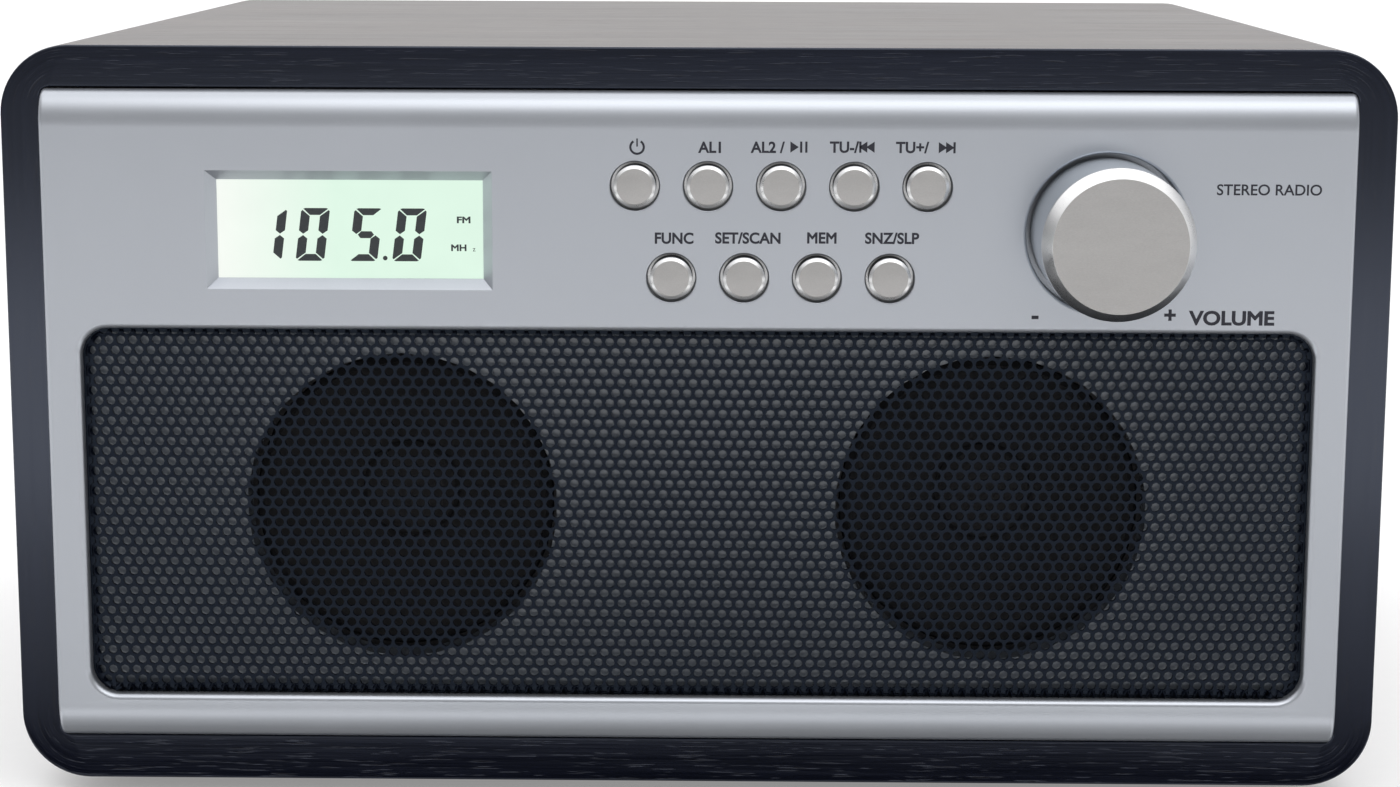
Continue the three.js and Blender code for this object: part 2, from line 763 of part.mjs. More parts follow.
// The moulded core that fills the skin and grips the encoder's shaft.
function knobCore() {
  const { radius, slope, shell } = KNOB;
  const outer = radius - shell - GAP;
  const frontY = knobFaceY + shell + GAP;
  const body = turned([
    [0, frontY], [KNOB_FACE_RADIUS - shell - 2 * GAP, frontY], [outer, knobFaceY + slope + GAP],
    [outer, coreBackY], [0, coreBackY],
  ], knobPlace, "y", MANY_SIDES);
  const bore = rod(ENCODER.shaftRadius + GAP, shaftFrontY - GAP, coreBackY + 1, knobPlace);
  return cut(body, bore);
}

const encoderY = CUP_FLOOR_Y + KNOB.cupWall + GAP;
const encoderBackY = BOARD.frontY - GAP;
const shaftBackY = encoderBackY - 2;

function encoderBody() {
  const housing = slab(
    rectangle(ENCODER.size, ENCODER.size, KNOB_X, CONTROL_Z), encoderY, encoderBackY,
  );
  const bush = rod(BUSH_RADIUS, BUSH_FRONT_Y, encoderY + 1, knobPlace);
  const bore = rod(ENCODER.shaftRadius + GAP, BUSH_FRONT_Y - 1, shaftBackY + GAP, knobPlace);
  return cut(join(housing, bush), bore);
}

const nutBackY = CUP_FLOOR_Y - GAP;
const nutInner = BUSH_RADIUS + GAP;
const encoderNut = pipe(
  nutInner + ENCODER.nutWall, nutInner, nutBackY - ENCODER.nutDepth, nutBackY, knobPlace,
);

add("volume_knob_shell", knobShell(), FINISH.satinMetal);
add("volume_knob_core", knobCore(), FINISH.blackPlastic);
add(
  "encoder_shaft", rod(ENCODER.shaftRadius, shaftFrontY, shaftBackY, knobPlace), FINISH.steel,
);
add("encoder_nut", encoderNut, FINISH.steel);
add("encoder_body", encoderBody(), FINISH.steel);

// ---------------------------------------------------------------- rear panel and its screws

const boardPegPlaces = [-1, 1].flatMap((side) =>
  [BOARD_BACK_Y - MAIN_BOARD.pegInset, BOARD_BACK_Y - MAIN_BOARD.depth + MAIN_BOARD.pegInset]
    .map((y) => [side * (MAIN_BOARD.width / 2 - MAIN_BOARD.pegInset), y]));

// Two shelf ribs that carry the main board, with the pegs that locate it.
function boardShelf() {
  const top = MAIN_BOARD.height - GAP;
  const ribs = [-1, 1].map((side) => {
    const x = side * (MAIN_BOARD.width / 2 - MAIN_BOARD.pegInset);
    return block(
      [x - MAIN_BOARD.rib / 2, BOARD_BACK_Y - MAIN_BOARD.depth, top - MAIN_BOARD.ribHeight],
      [x + MAIN_BOARD.rib / 2, REAR_INNER_Y + 1, top],
    );
  });
  const pegs = boardPegPlaces.map(([x, y]) =>
    rod(PEG.radius, top - 1, BOARD_TOP_Z + PEG.stickOut, [x, y, 0], "z", FEW_SIDES));
  return [...ribs, ...pegs];
}

function rearPanel() {
  const from = REAR_INNER_Y - 1;
  const to = REAR_Y + 1;
  const outline = roundedRectangle(
    2 * FACE.halfWidth, FACE.top - FACE.bottom, CABINET.innerRadius, 0, OPENING.z,
  );
  const slots = Array.from({ length: REAR.slots }, (_, i) => {
    const x = REAR.slotX + (i - (REAR.slots - 1) / 2) * REAR.slotPitch;
    return slab(rectangle(REAR.slotWidth, REAR.slotHeight, x, REAR.slotZ), from, to);
  });
  const jackHoles = Object.values(JACKS).map((jack) =>
    rod(jack.bore + jack.wall + GAP, from, to, [jack.x, 0, jackZ(jack)]));
  const [aerialX, , aerialZ] = AERIAL_AT;
  return cut(
    join(slab(outline, REAR_INNER_Y, REAR_Y), ...boardShelf()),
    ...slots,
    ...jackHoles,
    ...rodsAt(Object.values(SCREWS), SCREW.shank + GAP, from, to),
    rod(AERIAL.spigotRadius + GAP, from, to, [aerialX, 0, aerialZ]),
  );
}

add("rear_panel", rearPanel(), FINISH.blackPlastic);

// A pan-head screw with a cross recess.
function screw([x, z]) {
  const { shank, point, head, headDepth, length, slot } = SCREW;
  const headY = REAR_Y + GAP;
  const tipY = headY - length;
  const top = headY + headDepth;
  const blank = turned([
    [0, tipY], [shank, tipY + point], [shank, headY], [head, headY], [head, headY + headDepth / 2],
    [0.7 * head, top], [0, top],
  ], [x, 0, z], "y", FEW_SIDES);
  const arm = head / 2;
  const recess = [[arm, slot / 2], [slot / 2, arm]].map(([dx, dz]) =>
    block([x - dx, top - headDepth / 2, z - dz], [x + dx, top + 1, z + dz]));
  return cut(blank, ...recess);
}

for (const [name, place] of Object.entries(SCREWS))
  add(`${name}_screw`, screw(place), FINISH.steel);

// ---------------------------------------------------------------- main board

const mainBoardPlate = block(
  [-MAIN_BOARD.width / 2, BOARD_BACK_Y - MAIN_BOARD.depth, MAIN_BOARD.height],
  [MAIN_BOARD.width / 2, BOARD_BACK_Y, BOARD_TOP_Z],
);
const mainBoardHoles = boardPegPlaces.map(([x, y]) =>
  rod(PEG.radius + GAP, MAIN_BOARD.height - 1, BOARD_TOP_Z + 1, [x, y, 0], "z", FEW_SIDES));

add("main_board", cut(mainBoardPlate, ...mainBoardHoles), FINISH.circuitBoard);

// Height of the middle of a socket that stands on the main board.
function jackZ(jack) {
  return BOARD_TOP_Z + GAP + jack.size / 2;
}

// A socket on the back edge of the main board, with a round collar in the rear panel.
function jackBody(jack) {
  const backY = REAR_INNER_Y - GAP;
  const place = [jack.x, 0, jackZ(jack)];
  const housing = slab(
    rectangle(jack.size, jack.size, jack.x, jackZ(jack)), backY - jack.length, backY,
  );
  const boreFrontY = backY - 0.7 * jack.length;
  const body = cut(
    join(housing, rod(jack.bore + jack.wall, backY - 1, REAR_Y, place)),
    rod(jack.bore, boreFrontY, REAR_Y + 1, place, "y", FEW_SIDES),
  );
  return jack.pin
    ? join(body, rod(jack.pin, boreFrontY - 1, REAR_Y - 1, place, "y", FEW_SIDES))
    : body;
}

for (const [name, jack] of Object.entries(JACKS)) add(name, jackBody(jack), FINISH.blackPlastic);

// An extrusion of upright fins on a base.
function heatSink() {
  const { x, fromBack, width, base, fin, fins, finDepth, height } = PARTS_ON_BOARD.heatSink;
  const y = BOARD_BACK_Y - fromBack;
  const z = BOARD_TOP_Z + GAP;
  const plates = Array.from({ length: fins }, (_, i) => {
    const finX = x - width / 2 + fin / 2 + (i * (width - fin)) / (fins - 1);
    return standingBlock(fin, finDepth + 1, height, finX, y + (base + finDepth - 1) / 2, z);
  });
  return join(standingBlock(width, base, height, x, y, z), ...plates);
}

add("heat_sink", heatSink(), FINISH.heatSink);

const { tuner, capacitor } = PARTS_ON_BOARD;
add(
  "tuner_shield",
  standingBlock(
    tuner.width, tuner.depth, tuner.height,
    tuner.x, BOARD_BACK_Y - tuner.fromBack, BOARD_TOP_Z + GAP,
  ),
  FINISH.steel,
);
add(
  "filter_capacitor",
  rod(
    capacitor.radius, GAP, capacitor.height,
    [capacitor.x, BOARD_BACK_Y - capacitor.fromBack, BOARD_TOP_Z], "z",
  ),
  FINISH.blackPlastic,
);

// ---------------------------------------------------------------- aerial

const [pivotX, pivotY, pivotZ] = AERIAL_AT;

// The head turns in the rear panel, and its two ears carry the hinge pin of the rod.
function aerialHead() {
  const { spigotRadius, spigotLength, headRadius, headDepth, ear, earReach, lug, pinRadius } = AERIAL;
  const place = [pivotX, 0, pivotZ];
  const frontY = REAR_Y + GAP;
  const disc = rod(headRadius, frontY, frontY + headDepth, place);
  const spigot = rod(spigotRadius, REAR_INNER_Y - spigotLength, frontY + 1, place);
  const inner = lug / 2 + GAP;
  const ears = [-1, 1].map((side) =>
    block(
      [pivotX - earReach, frontY + headDepth - 1, pivotZ + side * inner],
      [pivotX + earReach, pivotY + AERIAL.radius, pivotZ + side * (inner + ear)],
    ));
  const hole = rod(
    pinRadius + GAP, -inner - ear - 1, inner + ear + 1, AERIAL_AT, "z", FEW_SIDES,
  );
  return cut(join(disc, spigot, ...ears), hole);
}

const pinHalf = AERIAL.lug / 2 + GAP + AERIAL.ear;
add("aerial_head", aerialHead(), FINISH.blackPlastic);
add(
  "aerial_hinge_pin",
  rod(AERIAL.pinRadius, -pinHalf, pinHalf, AERIAL_AT, "z", FEW_SIDES),
  FINISH.steel,
);

// The outermost section: a flat lug on the hinge pin, a solid plug and the tube.
function aerialRoot() {
  const { radius, wall, length, rootClear, plug, lug, lugRadius, pinRadius } = AERIAL;
  const eye = rod(lugRadius, -lug / 2, lug / 2, AERIAL_AT, "z");
  const neck = block(
    [pivotX - rootClear - 1, pivotY - lugRadius, pivotZ - lug / 2],
    [pivotX, pivotY + lugRadius, pivotZ + lug / 2],
  );
  const tube = rod(radius, -length, -rootClear, AERIAL_AT, "x");
  const bore = rod(radius - wall, -length - 1, -rootClear - plug, AERIAL_AT, "x");
  const hole = rod(pinRadius + GAP, -lug, lug, AERIAL_AT, "z", FEW_SIDES);
  return cut(join(eye, neck, cut(tube, bore)), hole);
}

add("aerial_section_1", aerialRoot(), FINISH.chrome);

const innermost = AERIAL.sections - 1;
AERIAL_RADII.slice(1).forEach((radius, i) => {
  const section = i + 1;
  const inner = -AERIAL.rootClear - AERIAL.plug - section * AERIAL.step;
  const outer = -AERIAL.length - section * AERIAL.step;
  if (section < innermost) {
    const tube = pipe(radius, radius - AERIAL.wall, outer, inner, AERIAL_AT, "x");
    add(`aerial_section_${section + 1}`, tube, FINISH.chrome);
    return;
  }
  const tip = turned([
    [0, outer - AERIAL.tipLength], [0.7 * AERIAL.tipRadius, outer - AERIAL.tipLength],
    [AERIAL.tipRadius, outer - 0.75 * AERIAL.tipLength], [AERIAL.tipRadius, outer], [0, outer],
  ], AERIAL_AT, "x");
  const wire = rod(radius, outer - 1, inner, AERIAL_AT, "x");
  add(`aerial_section_${section + 1}`, join(wire, tip), FINISH.chrome);
});

// ---------------------------------------------------------------- feet

const footX = CABINET.width / 2 - FOOT.fromSide;
for (const [side, x] of [["left", -footX], ["right", footX]])
  for (const [end, y] of [["front", FOOT.fromEnd], ["rear", CABINET.depth - FOOT.fromEnd]]) {
    const { radius, height, chamfer } = FOOT;
    const profile = [[0, -height], [radius - chamfer, -height], [radius, chamfer - height],
      [radius, -GAP], [0, -GAP]];
    add(`${end}_${side}_foot`, turned(profile, [x, y, 0], "z"), FINISH.rubber);
  }

// ---------------------------------------------------------------- the whole radio

const rearmostY = pivotY + AERIAL.radius;
radio.position.set(0, -(knobFaceY + rearmostY) / 2, FOOT.height);

const model = new THREE.Group();
model.add(radio);

export default model;
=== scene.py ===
"""Looks of a tabletop stereo clock radio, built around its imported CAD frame.

The radio is a veneered wooden tube with a moulded silver front. Each sub-assembly is a class that
models its own pieces in metres, in the frame's own coordinates, and dresses them in procedural
finishes. Front is towards -Y, and up is +Z.
"""

from __future__ import annotations

import logging
import math
from collections.abc import Callable, Iterator, Sequence
from contextlib import contextmanager
from dataclasses import dataclass, field, replace
from enum import Enum

import bpy
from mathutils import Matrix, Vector

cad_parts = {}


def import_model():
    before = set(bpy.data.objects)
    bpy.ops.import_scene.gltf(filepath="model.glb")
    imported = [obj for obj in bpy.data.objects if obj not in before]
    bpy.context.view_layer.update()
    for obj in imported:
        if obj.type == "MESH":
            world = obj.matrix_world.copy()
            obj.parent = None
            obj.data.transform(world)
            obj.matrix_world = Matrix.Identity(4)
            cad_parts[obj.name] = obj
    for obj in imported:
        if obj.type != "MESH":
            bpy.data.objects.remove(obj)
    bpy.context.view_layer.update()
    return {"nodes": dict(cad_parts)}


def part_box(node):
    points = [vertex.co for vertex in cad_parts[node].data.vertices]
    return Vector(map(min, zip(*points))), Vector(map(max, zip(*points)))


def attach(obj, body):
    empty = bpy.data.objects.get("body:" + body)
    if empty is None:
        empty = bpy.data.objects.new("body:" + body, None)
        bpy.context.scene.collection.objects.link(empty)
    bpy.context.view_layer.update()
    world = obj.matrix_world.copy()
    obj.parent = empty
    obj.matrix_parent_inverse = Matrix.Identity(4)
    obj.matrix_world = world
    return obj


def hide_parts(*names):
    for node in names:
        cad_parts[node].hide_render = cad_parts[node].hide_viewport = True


MM = 0.001
BODY = "radio"
WELD = 0.01 * MM

log = logging.getLogger("radio")

Point = tuple[float, float]
Colour = tuple[float, float, float]


# ------------------------------------------------------------------ measures


class Axis(Enum):
    """An axis that a piece is turned about, with the direction its radius is drawn in."""

    X = (Vector((1, 0, 0)), Vector((0, 0, 1)))
    Y = (Vector((0, 1, 0)), Vector((1, 0, 0)))
    Z = (Vector((0, 0, 1)), Vector((1, 0, 0)))

    @property
    def along(self) -> Vector:
        """Direction of the axis."""
        return self.value[0].copy()

    @property
    def out(self) -> Vector:
        """Direction of the radius in the drawn profile."""
        return self.value[1].copy()


class Facing(Enum):
    """The way that a flat outline faces, as a sign along Y."""

    FRONT = -1
    BACK = 1


class Cut(Enum):
    """What a boolean does."""

    AWAY = "DIFFERENCE"
    ADD = "UNION"


@dataclass(frozen=True)
class Extent:
    """The box that a CAD node fills."""

    low: Vector
    high: Vector

    @classmethod
    def of(cls, node: str) -> "Extent":
        """Reads a node's box from the frame.

        Args:
            node: Name of the CAD node.

        Returns:
            Its box at rest.
        """
        low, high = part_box(node)
        return cls(low, high)

    @property
    def centre(self) -> Vector:
        """Middle of the box."""
        return (self.low + self.high) / 2

    @property
    def size(self) -> Vector:
        """Width, depth and height of the box."""
        return self.high - self.low

    @property
    def radius(self) -> float:
        """Radius of a round piece that is turned about Y."""
        return max(self.size.x, self.size.z) / 2


def spot(x: float, y: float, z: float) -> Vector:
    """A point measured from the middle of the cabinet's lower front edge."""
    wood = Extent.of("wood_cabinet")
    return Vector((x, wood.low.y + y, wood.low.z + z))


@dataclass(frozen=True)
class Outline:
    """A rectangle with round corners, in a plane that faces the front."""

    width: float
    height: float
    radius: float
    x: float
    z: float
    arc: int = 10

    def grown(self, margin: float) -> "Outline":
        """The same outline moved out by a margin, corners and all."""
        return Outline(
            self.width + 2 * margin,
            self.height + 2 * margin,
            max(self.radius + margin, 0.0),
            self.x,
            self.z,
            self.arc,
        )

    @property
    def core(self) -> Point:
        """Half width and half height of the rectangle of its corners' centres."""
        return self.width / 2 - self.radius, self.height / 2 - self.radius

    @property
    def length(self) -> float:
        """Length of the whole edge."""
        return 4 * sum(self.core) + 2 * math.pi * self.radius

    def nearest(self, x: float, z: float) -> "EdgePoint":
        """Finds the point of the edge that is nearest to a place.

        Args:
            x: Place across.
            z: Place up.

        Returns:
            The nearest point of the edge.
        """
        wide, high = self.core
        across, up = x - self.x, z - self.z
        past_side, past_end = abs(across) - wide, abs(up) - high
        inner = Vector((math.copysign(wide, across), math.copysign(high, up)))
        if past_side > 0 and past_end > 0:
            out = (Vector((across, up)) - inner).normalized()
        elif past_side > past_end:
            inner.y = up
            out = Vector((math.copysign(1, across), 0))
        else:
            inner.x = across
            out = Vector((0, math.copysign(1, up)))
        edge = inner + out * self.radius
        distance = (Vector((across, up)) - edge).dot(out)
        turn = math.atan2(out.y, out.x) % (2 * math.pi)
        quarters = (
            inner.y,
            high + wide - inner.x,
            2 * (high + wide) - inner.y,
            3 * (high + wide) + inner.x,
            4 * (high + wide) + inner.y,
        )
        straight = quarters[math.ceil(turn / (math.pi / 2) - 1e-9)]
        along = straight + turn * self.radius
        return EdgePoint(edge + Vector((self.x, self.z)), out, distance, along)


@dataclass(frozen=True)
class EdgePoint:
    """The point of an outline's edge that is nearest to a place."""

    place: Vector
    out: Vector
    distance: float
    along: float


@dataclass(frozen=True)
class Step:
    """One move of a face: how far it shrinks, and how far it goes the way that it faces."""

    inset: float
    ahead: float


def flare(radius: float, sweep: float = math.pi / 2, count: int = 5) -> list[Step]:
    """Steps of a mouth that starts flat with the face and turns down into a hole.

    Args:
        radius: Radius of the rounded lip.
        sweep: Angle that the lip turns through.
        count: Number of steps.

    Returns:
        The steps, from the face to the wall of the hole.
    """
    angles = [sweep * i / count for i in range(count + 1)]
    return [
        Step(radius * (math.sin(b) - math.sin(a)), radius * (math.cos(a) - math.cos(b)))
        for a, b in zip(angles, angles[1:])
    ]


# ------------------------------------------------------------------ hand tools


def clear_selection() -> None:
    """Deselects every object."""
    bpy.ops.object.select_all(action="DESELECT")


def pick(piece: bpy.types.Object) -> None:
    """Selects one object alone and makes it active."""
    clear_selection()
    piece.select_set(True)
    bpy.context.view_layer.objects.active = piece


@contextmanager
def editing(piece: bpy.types.Object, mode: str = "VERT") -> Iterator[None]:
    """Opens a piece in edit mode and closes it again.

    Args:
        piece: The piece to edit.
        mode: Selection mode, VERT, EDGE or FACE.
    """
    pick(piece)
    kinds = ("VERT", "EDGE", "FACE")
    bpy.context.tool_settings.mesh_select_mode = tuple(mode == kind for kind in kinds)
    bpy.ops.object.mode_set(mode="EDIT")
    yield
    bpy.ops.object.mode_set(mode="OBJECT")


def clear_elements(piece: bpy.types.Object) -> None:
    """Deselects every vertex, edge and face of a piece, in object mode."""
    mesh = piece.data
    for elements in (mesh.vertices, mesh.edges, mesh.polygons):
        elements.foreach_set("select", [False] * len(elements))


def select_edges(piece: bpy.types.Object, test: Callable[[Vector, Vector], bool]) -> None:
    """Selects the edges whose two ends pass a test, in object mode."""
    clear_elements(piece)
    vertices = piece.data.vertices
    for edge in piece.data.edges:
        edge.select = test(*(vertices[i].co for i in edge.vertices))


def settle(piece: bpy.types.Object, name: str) -> bpy.types.Object:
    """Names a new piece and moves its place, turn and scale into its mesh."""
    pick(piece)
    piece.name = name
    bpy.ops.object.transform_apply(location=True, rotation=True, scale=True)
    return piece


def clean(piece: bpy.types.Object) -> bpy.types.Object:
    """Merges doubled vertices and turns all faces outwards."""
    with editing(piece):
        bpy.ops.mesh.select_all(action="SELECT")
        bpy.ops.mesh.remove_doubles(threshold=1e-6)
        bpy.ops.mesh.normals_make_consistent(inside=False)
    return piece


def push(move: Vector | Sequence[float]) -> None:
    """Extrudes the selection by a move, in edit mode."""
    bpy.ops.mesh.extrude_region_move(TRANSFORM_OT_translate={"value": tuple(move)})


def block(name: str, low: Vector, high: Vector) -> bpy.types.Object:
    """Adds a block between two corners."""
    bpy.ops.mesh.primitive_cube_add(size=1, location=(low + high) / 2)
    piece = bpy.context.object
    piece.scale = high - low
    return settle(piece, name)


def flat_outline(
    name: str, outline: Outline, y: float, facing: Facing = Facing.FRONT
) -> bpy.types.Object:
    """Adds a flat rectangle and rounds its corners.

    Args:
        name: Name of the piece.
        outline: Its shape.
        y: Plane that it lies in.
        facing: Way that it faces.

    Returns:
        A piece of one face.
    """
    turn = -facing.value * math.pi / 2
    place = (outline.x, y, outline.z)
    bpy.ops.mesh.primitive_plane_add(size=1, location=place, rotation=(turn, 0, 0))
    piece = bpy.context.object
    piece.scale = (outline.width, outline.height, 1)
    settle(piece, name)
    if outline.radius > 0:
        with editing(piece):
            bpy.ops.mesh.select_all(action="SELECT")
            bpy.ops.mesh.bevel(
                offset=outline.radius,
                segments=outline.arc,
                affect="VERTICES",
                clamp_overlap=False,
            )
    return piece


def stepped(
    name: str,
    outline: Outline,
    y: float,
    steps: Sequence[Step],
    facing: Facing = Facing.FRONT,
) -> bpy.types.Object:
    """Builds a closed solid by extruding an outline and insetting its face step by step.

    Args:
        name: Name of the piece.
        outline: Shape of its first and largest face.
        y: Plane of that face.
        steps: Moves of the face, the first of them a plain extrusion.
        facing: Way that it grows.

    Returns:
        The solid.
    """
    piece = flat_outline(name, outline, y, facing)
    with editing(piece, "FACE"):
        bpy.ops.mesh.select_all(action="SELECT")
        for step in steps:
            if step.inset > 0:
                bpy.ops.mesh.inset(thickness=step.inset, depth=step.ahead)
            else:
                push((0, facing.value * step.ahead, 0))
    return clean(piece)


def point_at(name: str, place: Vector) -> bpy.types.Object:
    """Adds a mesh of a single vertex at a place, left in edit mode with it selected."""
    bpy.ops.mesh.primitive_plane_add(size=1)
    piece = settle(bpy.context.object, name)
    bpy.context.tool_settings.mesh_select_mode = (True, False, False)
    bpy.ops.object.mode_set(mode="EDIT")
    bpy.ops.mesh.select_all(action="SELECT")
    bpy.ops.mesh.merge(type="CENTER")
    bpy.ops.transform.translate(value=place)
    return piece


def outlined(name: str, corners: Sequence[Vector], depth: Vector) -> bpy.types.Object:
    """Draws a closed outline point by point, fills it and extrudes it.

    Args:
        name: Name of the piece.
        corners: The outline's corners in turn.
        depth: How far it is extruded, and which way.

    Returns:
        The solid.
    """
    piece = point_at(name, corners[0])
    for before, after in zip(corners, corners[1:]):
        push(after - before)
    bpy.ops.mesh.select_all(action="SELECT")
    bpy.ops.mesh.edge_face_add()
    push(depth)
    bpy.ops.object.mode_set(mode="OBJECT")
    return clean(piece)


def turned(
    name: str,
    profile: Sequence[Point],
    place: Vector,
    axis: Axis = Axis.Y,
    sides: int = 96,
) -> bpy.types.Object:
    """Draws a profile point by point and spins it round an axis.

    Args:
        name: Name of the piece.
        profile: Points of (radius, distance along the axis from place), from end to end.
        place: A point on the axis.
        axis: Direction of the axis.
        sides: Steps of the spin.

    Returns:
        The solid of revolution.
    """
    corners = [place + axis.out * radius + axis.along * far for radius, far in profile]
    piece = point_at(name, corners[0])
    for before, after in zip(corners, corners[1:]):
        push(after - before)
    bpy.ops.mesh.select_all(action="SELECT")
    bpy.ops.mesh.spin(steps=sides, angle=2 * math.pi, center=place, axis=axis.along)
    bpy.ops.object.mode_set(mode="OBJECT")
    return clean(piece)


def rod(
    name: str,
    radius: float,
    start: float,
    end: float,
    place: Vector,
    axis: Axis = Axis.Y,
    sides: int = 96,
) -> bpy.types.Object:
    """Turns a plain rod, to be joined to another piece or to cut it.

    Args:
        name: Name of the piece.
        radius: Its radius.
        start: Where it starts, along the axis from place.
        end: Where it ends.
        place: A point on the axis.
        axis: Direction of the axis.
        sides: Steps of the spin.

    Returns:
        The rod.
    """
    profile = [(0.0, start), (radius, start), (radius, end), (0.0, end)]
    return turned(name, profile, place, axis, sides)


def ring(name: str, outer: Outline, inner: Outline, y: float, depth: float) -> bpy.types.Object:
    """Builds a frame between two outlines of as many points, in clean four-sided faces.

    Args:
        name: Name of the piece.
        outer: Its outer edge.
        inner: Its inner edge.
        y: Plane of its front face.
        depth: How far it goes back.

    Returns:
        The frame.
    """
    piece = join(name, [flat_outline(name, outer, y), flat_outline(name + "_hole", inner, y)])
    with editing(piece):
        bpy.ops.mesh.select_all(action="SELECT")
        bpy.ops.mesh.delete(type="ONLY_FACE")
        bpy.ops.mesh.select_all(action="SELECT")
        bpy.ops.mesh.bridge_edge_loops()
        bpy.ops.mesh.select_all(action="SELECT")
        push((0, depth, 0))
    return clean(piece)


def join(name: str, pieces: Sequence[bpy.types.Object]) -> bpy.types.Object:
    """Joins several pieces into the first one's mesh, under one name."""
    clear_selection()
    for piece in pieces:
        piece.select_set(True)
    bpy.context.view_layer.objects.active = pieces[0]
    if len(pieces) > 1:
        bpy.ops.object.join()
    pieces[0].name = name
    return pieces[0]


def copy_of(piece: bpy.types.Object, name: str, move: Vector) -> bpy.types.Object:
    """Copies a piece with a mesh of its own, and moves the copy's vertices."""
    twin = piece.copy()
    twin.data = piece.data.copy()
    twin.name = name
    bpy.context.scene.collection.objects.link(twin)
    twin.location = move
    return settle(twin, name)


def use(piece: bpy.types.Object, kind: str, **settings: object) -> None:
    """Adds a modifier to a piece, sets it and applies it."""
    pick(piece)
    modifier = piece.modifiers.new(kind.lower(), kind)
    for key, value in settings.items():
        setattr(modifier, key, value)
    bpy.ops.object.modifier_apply(modifier=modifier.name)


def carve(
    piece: bpy.types.Object, tools: Sequence[bpy.types.Object], cut: Cut = Cut.AWAY
) -> bpy.types.Object:
    """Cuts tools out of a piece, or adds them to it, and removes them."""
    tool = join("tool", list(tools))
    use(piece, "BOOLEAN", operation=cut.value, object=tool, solver="EXACT")
    bpy.data.objects.remove(tool)
    return piece


def soften(
    piece: bpy.types.Object, width: float, segments: int = 2, angle: float = 40
) -> bpy.types.Object:
    """Rounds the edges of a piece that are sharper than an angle in degrees."""
    use(
        piece,
        "BEVEL",
        width=width,
        segments=segments,
        limit_method="ANGLE",
        angle_limit=math.radians(angle),
        use_clamp_overlap=True,
    )
    return piece


def smooth(piece: bpy.types.Object, angle: float = 35) -> bpy.types.Object:
    """Shades a piece smooth up to an angle in degrees, with its broad faces kept flat."""
    pick(piece)
    bpy.ops.object.shade_smooth_by_angle(angle=math.radians(angle))
    use(piece, "WEIGHTED_NORMAL", keep_sharp=True, weight=80)
    return piece


# ------------------------------------------------------------------ finishes


